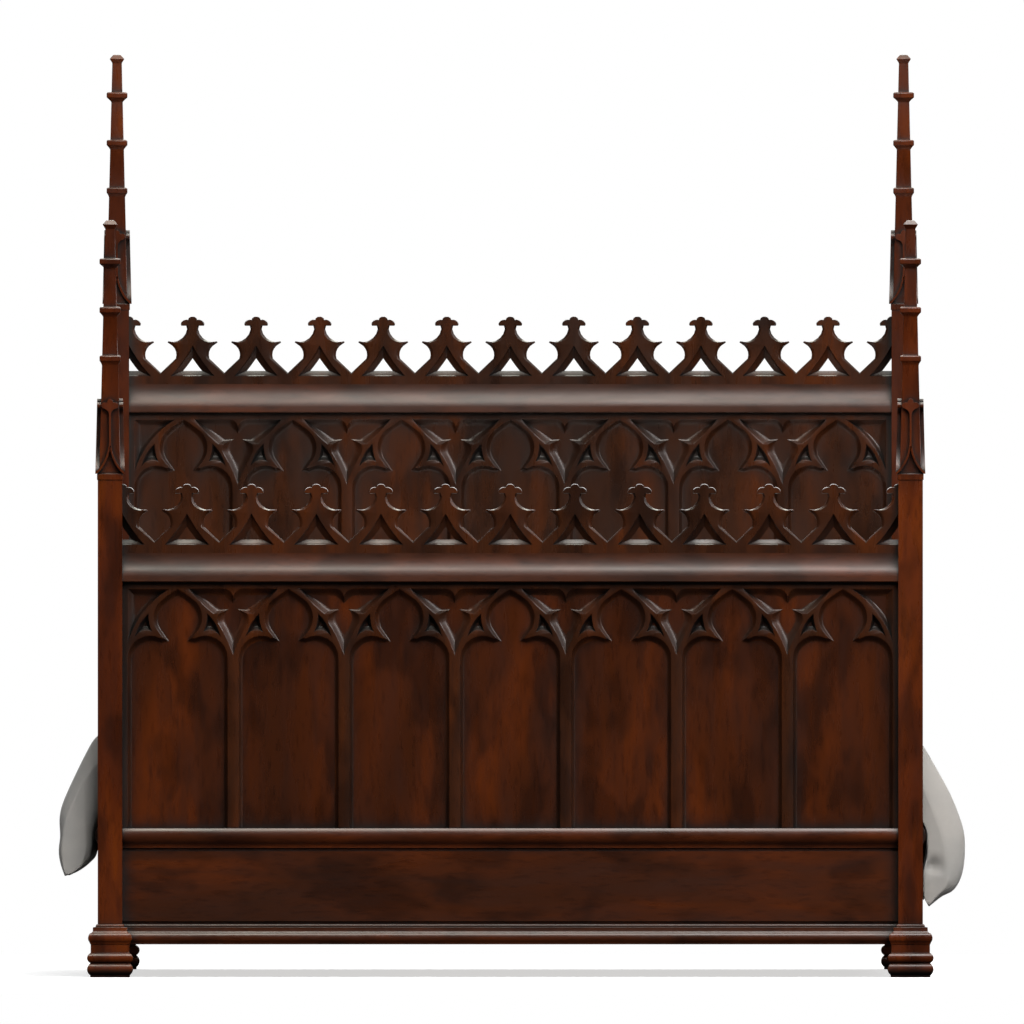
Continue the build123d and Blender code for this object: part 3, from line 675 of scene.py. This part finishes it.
eyelet_cut = (
    ((5.86, 6.30), [
        ((7.65, 8.55), (8.56, 11.00)), ((6.95, 9.68), (5.16, 9.90)), ((5.72, 8.10), (5.88, 6.34)),
    ]),
    ((6.32, 7.95), [
        ((6.95, 8.60), (7.30, 9.20)), ((6.72, 8.82), (6.08, 8.80)), ((6.25, 8.40), (6.33, 7.98)),
    ]),
)


def fret(courses, open_segments):
    """Vertices and faces of a fretted board, in mm.

    courses are (depth, loops), front to back; the first loop is the board's edge, and its open segments
    are where the next board of the row joins.
    """
    vertices = [(x, depth, z) for depth, loops in courses for loop in loops for x, z in loop]
    loops = courses[0][1]
    layer = sum(len(loop) for loop in loops)
    back = len(vertices) - layer
    faces = [tuple(t) for t in filled(loops[0], loops[1:])]
    faces += [tuple(back + i for i in t) for t in filled(courses[-1][1][0], courses[-1][1][1:])]
    for course in range(0, back, layer):
        first = course
        for number, loop in enumerate(loops):
            for i in range(len(loop)):
                if number or i not in open_segments:
                    a, b = first + i, first + (i + 1) % len(loop)
                    faces.append((a, b, b + layer, a + layer))
            first += len(loop)
    return vertices, faces


def part_way(loop, goal, share):
    return [(ax + share * (bx - ax), az + share * (bz - az)) for (ax, az), (bx, bz) in zip(loop, goal)]


def both_ways(loop, half):
    """A loop measured inwards from a unit's edge, put in the unit's right half and in its left half."""
    return [(half - x, z) for x, z in loop], [(x - half, z) for x, z in loop]


def moved(loop, dx, sense, top):
    """A loop drawn downwards from the board's top, put in place with z upwards."""
    return [(dx + sense * x, top - down) for x, down in loop]


def unit_object(name, vertices, faces):
    """An object from vertices in mm."""
    mesh = bpy.data.meshes.new(name)
    mesh.from_pydata(vertices, [], faces)
    mesh.transform(Matrix.Scale(mm, 4))
    return placed(name, mesh)


def row_tree():
    """Geometry Nodes: a row of one carved unit along x, joined to the ends beside it and merged."""
    inputs = {"Ends": "Geometry", "Unit": "Object", "Count": "Int", "First": "Vector", "Pitch": "Float"}
    tree, start, end = shared_group("carved_row", inputs, {"Row": "Geometry"}, "GeometryNodeTree")
    step = add(tree, "ShaderNodeCombineXYZ", {"X": start["Pitch"]}).outputs[0]
    line = {"Count": start["Count"], "Start Location": start["First"], "Offset": step}
    places = add(tree, "GeometryNodeMeshLine", line).outputs["Mesh"]
    unit = add(tree, "GeometryNodeObjectInfo", {"Object": start["Unit"]}).outputs["Geometry"]
    units = add(tree, "GeometryNodeInstanceOnPoints", {"Points": places, "Instance": unit})
    both = add(tree, "GeometryNodeJoinGeometry", {0: start["Ends"]})
    wire(tree, both, {0: units.outputs["Instances"]})
    real = add(tree, "GeometryNodeRealizeInstances", {0: both.outputs[0]}).outputs[0]
    merged = add(tree, "GeometryNodeMergeByDistance", {0: real, "Distance": join_gap})
    wire(tree, end, {0: merged.outputs[0]})
    return tree


join_gap = 0.004 * mm  # points of neighbouring units that lie as near as this are one
carved_row = row_tree()
row_sockets = {item.name: item.identifier for item in carved_row.interface.items_tree}


def carved_in_row(name, unit_mesh, ends_mesh, first_x, pitch, count):
    """A plain mesh of the unit repeated along x between its two end pieces, with its cut ends closed."""
    unit = unit_object("unit", *unit_mesh)
    piece = unit_object(name, *ends_mesh)
    row = piece.modifiers.new("row", "NODES")
    row.node_group = carved_row
    for socket, value in {"Unit": unit, "Count": count, "First": (first_x, 0, 0), "Pitch": pitch}.items():
        row[row_sockets[socket]] = value
    evaluated = piece.evaluated_get(bpy.context.evaluated_depsgraph_get())
    mesh = bpy.data.meshes.new_from_object(evaluated)
    piece.modifiers.remove(row)
    bpy.data.objects.remove(unit)
    mesh.materials.clear()
    mesh.materials.append(carved_mahogany)
    make_good(mesh, join_gap, 24, close=True)
    piece.data = mesh
    return piece


for board in boards:
    low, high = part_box(f"{board}_tracery")
    drop, bay = (high.z - low.z) / mm, (high.x - low.x) / mm / bays
    half_bay = bay / 2
    cuts = (light_cut, spandrel_cut, corner_cut, eyelet_cut)
    outlines = [[drawn(*drawing) for drawing in cut] for cut in cuts]
    for half in outlines[0]:  # the lights run straight down to the board's foot
        half.append((half[-1][0], drop))
    unit_courses, end_courses = [], ([], [])
    for share, depth_share in bevel_course:
        depth = low.y / mm + depth_share * (high.y - low.y) / mm
        light, spandrel, corner, eyelet = (part_way(*pair, share) for pair in outlines)
        right_light, left_light = both_ways(light, half_bay)
        right_eyelet, left_eyelet = both_ways(eyelet, half_bay)
        edge = [(-half_bay, 0), (half_bay, 0), *right_light, *reversed(left_light)]
        whole_bay = [edge, mirrored(spandrel), left_eyelet, right_eyelet]
        beside_post = [[(0, 0), (half_bay, 0), *right_light, (0, drop)], corner, right_eyelet]
        unit_courses.append((depth, [moved(loop, 0, 1, high.z / mm) for loop in whole_bay]))
        for courses, post_x, sense in zip(end_courses, (low.x / mm, high.x / mm), (1, -1)):
            courses.append((depth, [moved(loop, post_x, sense, high.z / mm) for loop in beside_post]))
    ends_mesh = ([], [])
    for courses in end_courses:
        vertices, faces = fret(courses, (1,))
        ends_mesh[1].extend([tuple(len(ends_mesh[0]) + i for i in face) for face in faces])
        ends_mesh[0].extend(vertices)
    unit = fret(unit_courses, (1, 2 * len(light) + 1))
    name = f"{board}_carved_tracery"
    fitted(carved_in_row(name, unit, ends_mesh, low.x + bay * mm, bay * mm, bays - 1), f"{board}_tracery")

# ---- Top rails -----------------------------------------------------------------------------------------
# A rail planed on both faces with an ogee, a cove under the cresting that swells to a nose with a square
# foot. It is tenoned between the posts and ploughed above for the cresting's tongue.
top_rail_tones = ((0.040, 0.0105, 0.0030), (0.060, 0.0132, 0.0028), (0.092, 0.0180, 0.0026))
top_rail_mahogany = mahogany("top_rail_mahogany", "x", 0.42, 0.4, *top_rail_tones)
finial_tip, strip = 12.2, 1.6  # how high the cresting's finials stand, and the strip under them
for board in boards:
    low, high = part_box(f"{board}_tracery")
    rail_low, rail_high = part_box(f"{board}_top_rail")
    height = (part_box(f"{board}_cresting")[1].z - rail_low.z) / mm - (finial_tip + strip)
    nose, neck = (rail_high.y - rail_low.y) / 2 / mm, 1.0
    ogee = [
        ((neck + 0.16, 0.68 * height), ((neck + nose) / 2 + 0.03, 0.48 * height)),
        ((nose - 0.14, 0.33 * height), (nose, 0.21 * height)), ((nose, 0.18),), ((nose - 0.18, 0.0),),
    ]
    start = Vector((low.x, (rail_low.y + rail_high.y) / 2, rail_low.z))
    profile = mirrored(drawn((neck, height), ogee, 10))
    name = f"{board}_ogee_top_rail"
    moulding(name, f"{board}_top_rail", profile, start, high.x - low.x, towards_foot, top_rail_mahogany)

# ---- Crestings -----------------------------------------------------------------------------------------
# A row of fretsawn finials on a strip that stands in the top rail's groove. Their outlines are chamfered on
# both faces, and the three-cornered openings are bevelled from both faces to a thin arris inside.
finials = 12
cresting_courses = (  # depth, and share of the chamfer
    (0.0, 1.0), (0.02, 0.92), (0.17, 0.60), (0.33, 0.28), (0.45, 0.05), (0.52, 0.0), (0.72, 0.0),
    (0.92, 0.0),
)
opening_face = drawn((0, 6.30), [((1.95, 3.15), (4.45, 0.05)), ((0, 0.05),)], 5)
opening_middle = drawn((0, 3.66), [((0.90, 2.40), (1.91, 1.10)), ((0, 1.10),)], 5)
finial_edge = [  # the sawn outline, from beside the tip down to the valley
    ((0.66, 12.00), (0.91, 11.50)), ((2.02, 11.33), (2.42, 10.62)), ((2.28, 10.28),), ((1.30, 10.28),),
    ((1.13, 9.60),), ((2.20, 7.70), (4.95, 7.14)), ((5.08, 6.86),), ((4.62, 6.56),),
    ((3.42, 5.15), (3.42, 3.62)),
]
finial_face = [  # the outline left on the face by the chamfer
    ((0.63, 11.93), (0.86, 11.45)), ((1.95, 11.25), (2.33, 10.60)), ((2.20, 10.38),), ((1.02, 10.36),),
    ((0.74, 9.55),), ((1.85, 7.45), (4.30, 7.02)), ((4.36, 6.92),), ((3.60, 6.62),),
    ((2.80, 5.15), (2.88, 3.55)),
]


def cresting_mesh(pitch, front, thickness, foot):
    """One length of cresting, from the middle of a finial to the middle of the next."""
    sawn = drawn((0, finial_tip), finial_edge + [((pitch / 2, 0.72),)], 5)
    left_flat = drawn((0, finial_tip - 0.08), finial_face + [((pitch / 2, 0.40),)], 5)
    depths = [*cresting_courses, (thickness / 2, 0.0)]
    depths += [(thickness - depth, share) for depth, share in reversed(depths[:-1])]
    courses = []
    for depth, share in depths:
        edge = part_way(sawn, left_flat, share)
        sunk = (1 - abs(2 * depth / thickness - 1)) ** 1.7
        opening = part_way(opening_face, opening_middle, sunk)
        right_opening, left_opening = both_ways(opening, pitch / 2)
        right_edge, left_edge = both_ways(edge, pitch / 2)
        loop = [(-pitch / 2, -strip), (pitch / 2, -strip), *reversed(right_opening), *right_edge]
        loop += [*reversed(left_edge[:-1]), *left_opening]
        courses.append((front + depth, [[(x, foot + y) for x, y in loop]]))
    opening_end, edges_end = 1 + len(opening), len(opening) + 2 * len(edge)
    return fret(courses, (1, opening_end, edges_end, edges_end + len(opening)))


for board in boards:
    low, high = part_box(f"{board}_cresting")
    pitch = (high.x - low.x) / mm / finials
    unit = cresting_mesh(pitch, low.y / mm, (high.y - low.y) / mm, high.z / mm - finial_tip)
    first_x = low.x + pitch * mm / 2
    cresting = carved_in_row(f"{board}_fretted_cresting", unit, ([], []), first_x, pitch * mm, finials)
    fitted(cresting, f"{board}_cresting")


# ---- Ledgers and slats ---------------------------------------------------------------------------------
# Plain sawn strips of pale deal: two ledgers glued inside the side rails, and twelve loose slats across them
# that carry the mattress. They are out of sight, so they are left unpolished.
def deal(name, grain):
    """Unpolished softwood, pale with darker annual rings along the grain."""
    wood, tree, surface = painted(name)
    rings = between(tree, cloud(tree, along_grain(tree, grain, 0.05), 900, 3, 0.6), 0.35, 0.62)
    colour = blend(tree, "MIX", rings, (0.36, 0.21, 0.10, 1), (0.62, 0.43, 0.24, 1))
    wire(tree, surface, {"Base Color": colour, "Roughness": 0.7})
    return wood


deal_along, deal_across = deal("deal_ledgers", "y"), deal("deal_slats", "x")
for node, wood in (("left_ledger", deal_along), ("right_ledger", deal_along), ("slats", deal_across)):
    polish_solid(node, wood)


# ---- Mattress ------------------------------------------------------------------------------------------
# A stuffed mattress in striped ticking, a little crowned, with a piping cord sewn round its top and bottom
# edges. It lies loose on the slats.
def weave_group():
    """Plain weave: crossing threads that catch the light, and the uneven shade of washed cloth."""
    outputs = {"Height": "Float", "Shade": "Float"}
    group, start, end = shared_group("plain_weave", {"Place": "Vector"}, outputs)
    wave = {"Vector": start["Place"], "Scale": 2600.0, "Distortion": 1.5, "Detail": 1.0}
    threads = [add(group, "ShaderNodeTexWave", wave, bands_direction=axis).outputs["Fac"] for axis in "XYZ"]
    crossed = arithmetic(group, "MULTIPLY", threads[0], threads[1])
    shade = between(group, cloud(group, start["Place"], 130, 4, 0.6), 0.3, 0.7)
    wire(group, end, {"Height": arithmetic(group, "MAXIMUM", crossed, threads[2]), "Shade": shade})
    return group


plain_weave = weave_group()


def cloth(name, light, dark, sheen=0.25, stripes=None):
    """Woven cotton; stripes, if given, is (pitch, colour) for ticking stripes along the bed."""
    fabric, tree, surface = painted(name)
    where = add(tree, "ShaderNodeTexCoord").outputs["Object"]
    weave = add(tree, "ShaderNodeGroup", {"Place": where}, node_tree=plain_weave).outputs
    colour = blend(tree, "MIX", weave["Shade"], (*dark, 1), (*light, 1))
    if stripes:
        pitch, stripe_colour = stripes
        across = add(tree, "ShaderNodeSeparateXYZ", {0: where}).outputs["X"]
        phase = arithmetic(tree, "PINGPONG", across, pitch / 2)
        band = between(tree, phase, 0.14 * pitch, 0.17 * pitch, 1.0, 0.0)
        colour = blend(tree, "MIX", band, colour, (*stripe_colour, 1))
    wire(tree, surface, {
        "Base Color": colour, "Roughness": 0.85, "Sheen Weight": sheen, "Specular IOR Level": 0.25,
        "Normal": relief(tree, weave["Height"], 0.25, 0.03 * mm),
    })
    return fabric


sewing_scale = 10  # cloth is worked out at ten times the miniature's size


def fill_with_down(piece, pressure, frames, most):
    """Lets a closed soft piece swell as cloth, and keeps each point within a distance of where it began."""
    big = piece.data.copy()
    big.transform(Matrix.Scale(sewing_scale, 4))
    trial = placed("trial", big)
    swell = trial.modifiers.new("cloth", "CLOTH")
    cover = swell.settings
    cover.use_pressure, cover.uniform_pressure_force = True, pressure
    cover.tension_stiffness = cover.compression_stiffness = 15.0
    cover.bending_stiffness, cover.quality = 0.3, 5
    cover.effector_weights.gravity = 0
    swell.point_cache.frame_end = frames
    for frame in range(1, frames + 1):
        bpy.context.scene.frame_set(frame)
    settled = trial.evaluated_get(bpy.context.evaluated_depsgraph_get()).to_mesh()
    for vertex, moved_vertex in zip(piece.data.vertices, settled.vertices):
        shift = moved_vertex.co / sewing_scale - vertex.co
        if shift.length > most:
            shift *= most / shift.length
        vertex.co += shift
    bpy.data.objects.remove(trial)
    bpy.context.scene.frame_set(1)


def soft_piece(name, mesh_data, material):
    """A closed soft piece with its doubles merged, smooth all over, and one level of subdivision."""
    piece = solid(name, *mesh_data, material, smooth_angle=180)
    finer = piece.modifiers.new("finer", "SUBSURF")
    finer.levels = finer.render_levels = 1
    return piece


def rounded_rectangle(half_x, half_y, corner, spacing):
    """Points round a rectangle with round corners, counter-clockwise, about spacing apart."""
    points = []
    steps = max(3, round(corner * math.pi / 2 / spacing))
    for quarter, (cx, cy) in enumerate(((1, 1), (-1, 1), (-1, -1), (1, -1))):
        angles = [math.pi / 2 * (quarter + n / steps) for n in range(steps + 1)]
        x, y = cx * (half_x - corner), cy * (half_y - corner)
        points += [(x + corner * math.cos(angle), y + corner * math.sin(angle)) for angle in angles]
    filled_in = []
    for here, beyond in zip(points, points[1:] + points[:1]):
        steps = max(1, round(math.dist(here, beyond) / spacing))
        filled_in += [tuple(a + (b - a) * n / steps for a, b in zip(here, beyond)) for n in range(steps)]
    return filled_in


def cord_round(points, radius, sides_round=8):
    """Vertices and faces of a closed cord that follows points, in metres."""
    vertices = []
    for number, point in enumerate(points):
        ahead = (points[(number + 1) % len(points)] - points[number - 1]).normalized()
        across = ahead.cross(Vector((0, 0, 1))).normalized()
        up = across.cross(ahead)
        for turn in range(sides_round):
            angle = math.tau * turn / sides_round
            vertices.append(point + (across * math.cos(angle) + up * math.sin(angle)) * radius)
    open_faces = ring_faces(len(points) + 1, sides_round)
    return vertices, [tuple(i % len(vertices) for i in face) for face in open_faces]


mattress_low, mattress_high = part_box("mattress")
mattress_centre = (mattress_low + mattress_high) / 2
mattress_half = (mattress_high - mattress_low) / 2
mattress_corner = 6.0
crown_rings, first_ring, ring_pitch = 22, 1.5, 3.2


def mattress_mesh():
    """A rounded slab whose border bulges between two piped edges and whose top and bottom are crowned."""
    half_x, half_y, half_z = (v / mm for v in mattress_half)
    edge_z = half_z - 0.9
    # share of the edge's height, and distance in from the border's mean line
    border = [(0.2, -0.6), (0.6, -0.35), (0.86, 0.0), (0.93, 0.35), (1.0, 1.0)]
    border = [(-share, bulge) for share, bulge in reversed(border)] + border
    crown = [first_ring + ring_pitch * n for n in range(1, crown_rings + 1)]
    crown = [(distance + 0.4, edge_z + 0.6 * (1 - math.exp(-distance / 12))) for distance in crown]
    levels = [(inward, -z) for inward, z in reversed(crown)]
    levels += [(0.9 + bulge, share * edge_z) for share, bulge in border] + crown
    rim = rounded_rectangle(half_x - 1.0, half_y - 1.0, mattress_corner, 3.0)
    vertices = []
    for inward, z in levels:
        scale_x, scale_y = (half_x - inward) / half_x, (half_y - inward) / half_y
        vertices += [mattress_centre + Vector((x * scale_x, y * scale_y, z)) * mm for x, y in rim]
    return vertices, stack_faces(len(levels), len(rim))


blue_stripes = (7.0 * mm, (0.10, 0.13, 0.19))
ticking = cloth("striped_ticking", (0.66, 0.62, 0.54), (0.56, 0.52, 0.45), stripes=blue_stripes)
piping_cotton = cloth("piping_cotton", (0.42, 0.40, 0.37), (0.33, 0.31, 0.28))
stuffed_mattress = soft_piece("stuffed_mattress", mattress_mesh(), ticking)
fill_with_down(stuffed_mattress, 3.0, 12, 0.5 * mm)
fitted(stuffed_mattress, "mattress", "mattress")

piping_radius, piping_inset, piping_drop = 0.55 * mm, 1.1, 1.75 * mm
piping_x, piping_y = (half / mm - piping_inset for half in mattress_half.xy)
for edge, sense in (("upper", 1), ("lower", -1)):
    z = mattress_centre.z + sense * (mattress_half.z - piping_drop)
    loop = rounded_rectangle(piping_x, piping_y, mattress_corner, 2.0)
    path = [Vector((mattress_centre.x + x * mm, mattress_centre.y + y * mm, z)) for x, y in loop]
    cord = cord_round(path, piping_radius)
    piping = solid(f"mattress_{edge}_piping", *cord, piping_cotton, smooth_angle=180)
    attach(piping, "mattress")

# ---- Pillows -------------------------------------------------------------------------------------------
# Two down pillows in white cotton slips, side by side at the head. Each is two rectangles of cloth sewn
# round the edge, so it is thin at the seam, full in the middle, and its sides pull in between its corners.
pillow_cotton = cloth("pillow_cotton", (0.74, 0.72, 0.68), (0.64, 0.62, 0.585))
across, along = 44, 28  # squares of the grid that each side is made of
side_pull = 0.055


def pillow_point(low, high, seed, layer, u, v):
    """Where the point at u and v, from -1 to 1 over a side, lies on the upper or the lower layer."""
    centre, half = (low + high) / 2, (high - low) / 2
    seam_z = low.z + 0.42 * (high.z - low.z)
    u, v = math.copysign(abs(u) ** 0.85, u), math.copysign(abs(v) ** 0.85, v)
    x = half.x * 0.985 * u * (1 - side_pull * (1 - v * v))
    y = half.y * 0.975 * v * (1 - 1.5 * side_pull * (1 - u * u))
    full = ((1 - u ** 4) * (1 - v ** 4)) ** 0.5
    if layer > 0:
        crease = noise.noise(Vector((3.2 * u + seed, 2.6 * v, 0.7 * layer + seed)))
        fine = noise.noise(Vector((9 * u + seed, 7 * v, 5.0 + layer)))
        z = seam_z + (high.z - seam_z) * full * (0.88 + 0.07 * crease + 0.025 * fine)
    else:  # flattened where it lies
        z = max(low.z + 0.35 * mm, seam_z - (seam_z - low.z) * 1.5 * full)
    return Vector((centre.x + x, centre.y + y, z))


def grid_faces(row, rows, first=0):
    """Faces between rows of points, row points to each."""
    starts = [first + row * j + i for j in range(rows - 1) for i in range(row - 1)]
    return [(a, a + 1, a + row + 1, a + row) for a in starts]


def pillow_mesh(low, high, seed):
    """Two grids joined at a seam, swollen in the middle."""
    vertices = [
        pillow_point(low, high, seed, layer, 2 * i / across - 1, 2 * j / along - 1)
        for layer in (1, -1) for j in range(along + 1) for i in range(across + 1)
    ]
    upper, lower = (grid_faces(across + 1, along + 1, first) for first in (0, len(vertices) // 2))
    return vertices, upper + lower


for side, seed in (("left", 1.7), ("right", 5.8)):
    slip = pillow_mesh(*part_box(f"{side}_pillow"), seed)
    pillow = soft_piece(f"{side}_down_pillow", slip, pillow_cotton)
    fill_with_down(pillow, 4.0, 20, 0.35 * mm)
    fitted(pillow, f"{side}_pillow", f"{side}_pillow")

# ---- Duvet ---------------------------------------------------------------------------------------------
# A thick grey-beige cotton cover over the mattress. It hangs outside both side rails to a soft rounded
# hem, falls in loose folds, hangs lower on the right, and at the foot its front edge is tucked and turned.
duvet_cotton = cloth("duvet_cotton", (0.355, 0.330, 0.303), (0.30, 0.288, 0.27), sheen=0.2)
duvet_low, duvet_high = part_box("duvet")
foot_y, head_y = duvet_low.y / mm, duvet_high.y / mm
# Each profile runs from the hem up over the shoulder, x outwards from the bed's middle, in mm. A side has
# its outer and its inner one.
over_rail = [(83.35, 26.4), (83.3, 29.0), (82.6, 30.8), (80.6, 35.4), (77.4, 40.9), (75.4, 42.2), (72, 42.3)]
left_side = (
    [(88.95, 19.8), (89.75, 21.8), (90.3, 24.8), (89.9, 27.6), (90.2, 31.6), (88.9, 36), (84.4, 46),
     (82.3, 48.5), (79, 50.0), (74, 50.5)],
    [(88.95, 19.8), (87.2, 20.4), (84.9, 21.9), (83.55, 23.7), *over_rail],
)
right_side = (
    [(83.4, 13.8), (84.9, 14.9), (86.4, 16.1), (88.4, 16.6), (90.1, 19.4), (90.8, 22.8), (90.9, 25.8),
     (90.7, 29), (88.5, 35.4), (85.4, 41.6), (82.3, 46.9), (79, 49.5), (74, 50.5)],
    [(83.4, 13.8), (82.65, 15.2), (82.5, 18.6), (82.65, 21.6), (83.3, 23.6), *over_rail],
)
# At the foot the hanging sides end in a turned face between two ridges, and the top in a rounded edge.
left_ridges = (
    [(88.75, 20.0), (89.3, 22.0), (89.7, 25.3), (89.2, 29.6), (88.2, 33.0), (85.5, 38.9), (82.4, 43.0),
     (78, 45.8), (74, 46.4)],
    [(88.75, 20.0), (86.6, 20.9), (85.1, 22.6), (84.7, 26.9), (85.1, 32.3), (85.2, 37.0), (85.2, 38.8),
     (82.2, 42.9), (78, 45.7), (74, 46.3)],
)
right_ridges = (
    [(83.4, 14.0), (85.6, 16.6), (87.1, 17.8), (87.5, 20.0), (87.0, 24.2), (86.0, 28.8), (84.5, 33.0),
     (82.6, 37.9), (80, 42), (77, 45.4), (74, 46.4)],
    [(83.4, 14.0), (82.4, 15.4), (82.2, 18.8), (82.3, 21.4), (83.15, 23.8), (83.3, 28.8), (83.0, 30.0),
     (82.1, 31.2), (81.6, 33.4), (81.4, 36.6), (79.6, 41.8), (77, 45.2), (74, 46.3)],
)


def smooth_between(a, b, c, d, t):
    """A smooth curve's value between b and c, at t from 0 to 1."""
    square, cube = 2 * a - 5 * b + 4 * c - d, 3 * b - a - 3 * c + d
    return 0.5 * (2 * b + (c - a) * t + square * t * t + cube * t ** 3)


def smooth_path(points, count):
    """Evenly spaced points along a smooth curve through the given ones."""
    curve = []
    padded_points = [points[0], *points, points[-1]]
    for four in zip(padded_points, padded_points[1:], padded_points[2:], padded_points[3:]):
        for n in range(12):
            curve.append(tuple(smooth_between(*along_axis, n / 12) for along_axis in zip(*four)))
    curve.append(points[-1])
    lengths = [0.0]
    for here, beyond in zip(curve, curve[1:]):
        lengths.append(lengths[-1] + math.dist(here, beyond))
    result = []
    number = 0
    for n in range(count + 1):
        wanted = lengths[-1] * n / count
        while number < len(lengths) - 2 and lengths[number + 1] < wanted:
            number += 1
        share = (wanted - lengths[number]) / max(lengths[number + 1] - lengths[number], 1e-9)
        result.append(tuple(a + share * (b - a) for a, b in zip(curve[number], curve[number + 1])))
    return result


side_steps, top_steps, length_steps, edge_steps, face_steps = 26, 40, 56, 6, 5
edge_radius = 5.0
edge_lean = math.radians(42)  # how far the cover already slopes back where it leaves the seam
tuck_height, tuck_depth = 22.2, 2.2


def folds(y, seed):
    """How far a hanging side is pushed in by loose folds at y: 0 at a fold's crest and 1 in its hollow."""
    wave = 0.5 + 0.5 * math.sin(0.19 * y + 1.6 * math.sin(0.045 * y + seed) + seed)
    return 0.75 * wave + 0.25 * (0.5 + noise.noise(Vector((0.11 * y, seed, 3.1))))


def hanging_side(full, turned, y, share, sense, inwards, push_depth, seed):
    """One skin of a hanging side at y, part of the way from its turned edge to the full cover."""
    settle = min(1.0, max(0.0, (y - foot_y - 3.0) / 14.0))  # folds grow away from the foot's turned edge
    points = []
    for n, ((fx, fz), (tx, tz)) in enumerate(zip(full, turned)):
        low_down = 1 - n / side_steps
        push = settle * folds(y, seed) * push_depth * math.sin(math.pi * min(1, low_down * 0.62)) ** 1.5
        fx -= push * inwards
        fz += settle * low_down ** 2 * 3.2 * (0.5 + noise.noise(Vector((0.06 * y, seed, 9.0))))
        points.append((sense * (tx + share * (fx - tx)), tz + share * (fz - tz)))
    return points


def rumple(x, y):
    """How far the cover's top is raised or sunk."""
    broad, fine = (Vector((0.035 * x, 0.035 * y, 0.4)), Vector((0.10 * x, 0.08 * y, 4.4)))
    return noise.noise(broad) + 0.35 * noise.noise(fine)


def duvet_section(y, share):
    """Outer and inner points across the bed at y; share is 0 at a turned edge and 1 in the full cover."""
    skins = ([], [])
    hanging = ((-1, left_side, left_ridges, 0.9), (1, right_side, right_ridges, 2.3))
    for sense, profiles, ridges, seed in hanging:
        profiles = [smooth_path(profile, side_steps) for profile in profiles]
        if y - foot_y < 40:
            edges = [smooth_path(ridge, side_steps) for ridge in ridges]
        else:
            edges = [part_way(*profiles, 0.5)] * 2
        for skin, full, turned, inwards, depth in zip(skins, profiles, edges, (1, -1), (2.6, 0.5)):
            skin.append(hanging_side(full, turned, y, share, sense, inwards, depth, seed))
    sections = []
    for layer, (left, right) in enumerate(skins):
        (left_x, left_z), (right_x, right_z) = left[-1], right[-1]
        top = []
        for n in range(1, top_steps):
            t = n / top_steps
            x, z = left_x + t * (right_x - left_x), left_z + t * (right_z - left_z)
            if layer == 0:
                z += share * 0.9 * rumple(x, y) * min(1.0, 6 * t * (1 - t))
            top.append((x, z))
        sections.append([*left, *top, *reversed(right)])
    return sections


def duvet_stations():
    """Where the cover is drawn along the bed, and the share of the full cover there."""
    turned = []
    for n in range(edge_steps):
        angle = edge_lean + (math.pi / 2 - edge_lean) * n / edge_steps
        share = (math.sin(angle) - math.sin(edge_lean)) / (1 - math.sin(edge_lean))
        turned.append((edge_radius * (1 - math.cos(angle) / math.cos(edge_lean)), share))
    run = head_y - foot_y - 2 * edge_radius
    stations = [(foot_y + distance, share) for distance, share in turned]
    stations += [(foot_y + edge_radius + run * n / length_steps, 1.0) for n in range(length_steps + 1)]
    return stations + [(head_y - distance, share) for distance, share in reversed(turned)]


def duvet_mesh():
    """A closed cover: an outer and an inner skin, sewn at the hems and along both ends."""
    vertices, faces, skins = [], [], []
    width = 2 * side_steps + top_steps + 1
    for y, share in duvet_stations():
        inner_y = foot_y + 0.45 * (y - foot_y) if y - foot_y < edge_radius - 0.01 else y
        skins.append((len(vertices), len(vertices) + width))
        for points, at in zip(duvet_section(y, share), (y, inner_y)):
            vertices += [Vector((x, at, z)) * mm for x, z in points]
    for here, beyond in zip(skins, skins[1:]):
        for a, b in zip(here, beyond):
            faces += [(a + n, a + n + 1, b + n + 1, b + n) for n in range(width - 1)]
        faces += [(here[0] + n, beyond[0] + n, beyond[1] + n, here[1] + n) for n in (0, width - 1)]
    for station in (skins[0], skins[-1]):
        previous = [station[0] + n for n in range(width)]
        for step in range(1, face_steps + 1):
            row = [station[1] + n for n in range(width)]
            if step < face_steps:
                row = [len(vertices) + n for n in range(width)]
                for n in range(width):
                    a, b = vertices[station[0] + n], vertices[station[1] + n]
                    point = a + (b - a) * (step / face_steps)
                    if station is skins[0] and point.x > 0.08:  # the right side's turned face is tucked in
                        tuck = math.exp(-(((point.z / mm - tuck_height) / 0.75) ** 2))
                        point.y += tuck_depth * mm * tuck * min(1.0, max(0.0, (86.8 - point.x / mm) / 2))
                    vertices.append(point)
            faces += [(previous[n], previous[n + 1], row[n + 1], row[n]) for n in range(width - 1)]
            previous = row
    return vertices, faces


def sharpen_turned_edges(mesh):
    """Creases the edges where a turned face at the foot meets the skins."""
    sewn = bmesh.new()
    sewn.from_mesh(mesh)
    crease = sewn.edges.layers.float.new("crease_edge")
    for edge in sewn.edges:
        reaches = [[abs(v.co.y - duvet_low.y) for v in face.verts] for face in edge.link_faces]
        if sum(max(reach) < 0.01 * mm for reach in reaches) == 1:
            edge[crease] = 0.7
    sewn.to_mesh(mesh)
    sewn.free()


duvet = soft_piece("draped_duvet", duvet_mesh(), duvet_cotton)
sharpen_turned_edges(duvet.data)
fill_with_down(duvet, 2.0, 12, 0.4 * mm)
fitted(duvet, "duvet", "duvet")

low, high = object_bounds()
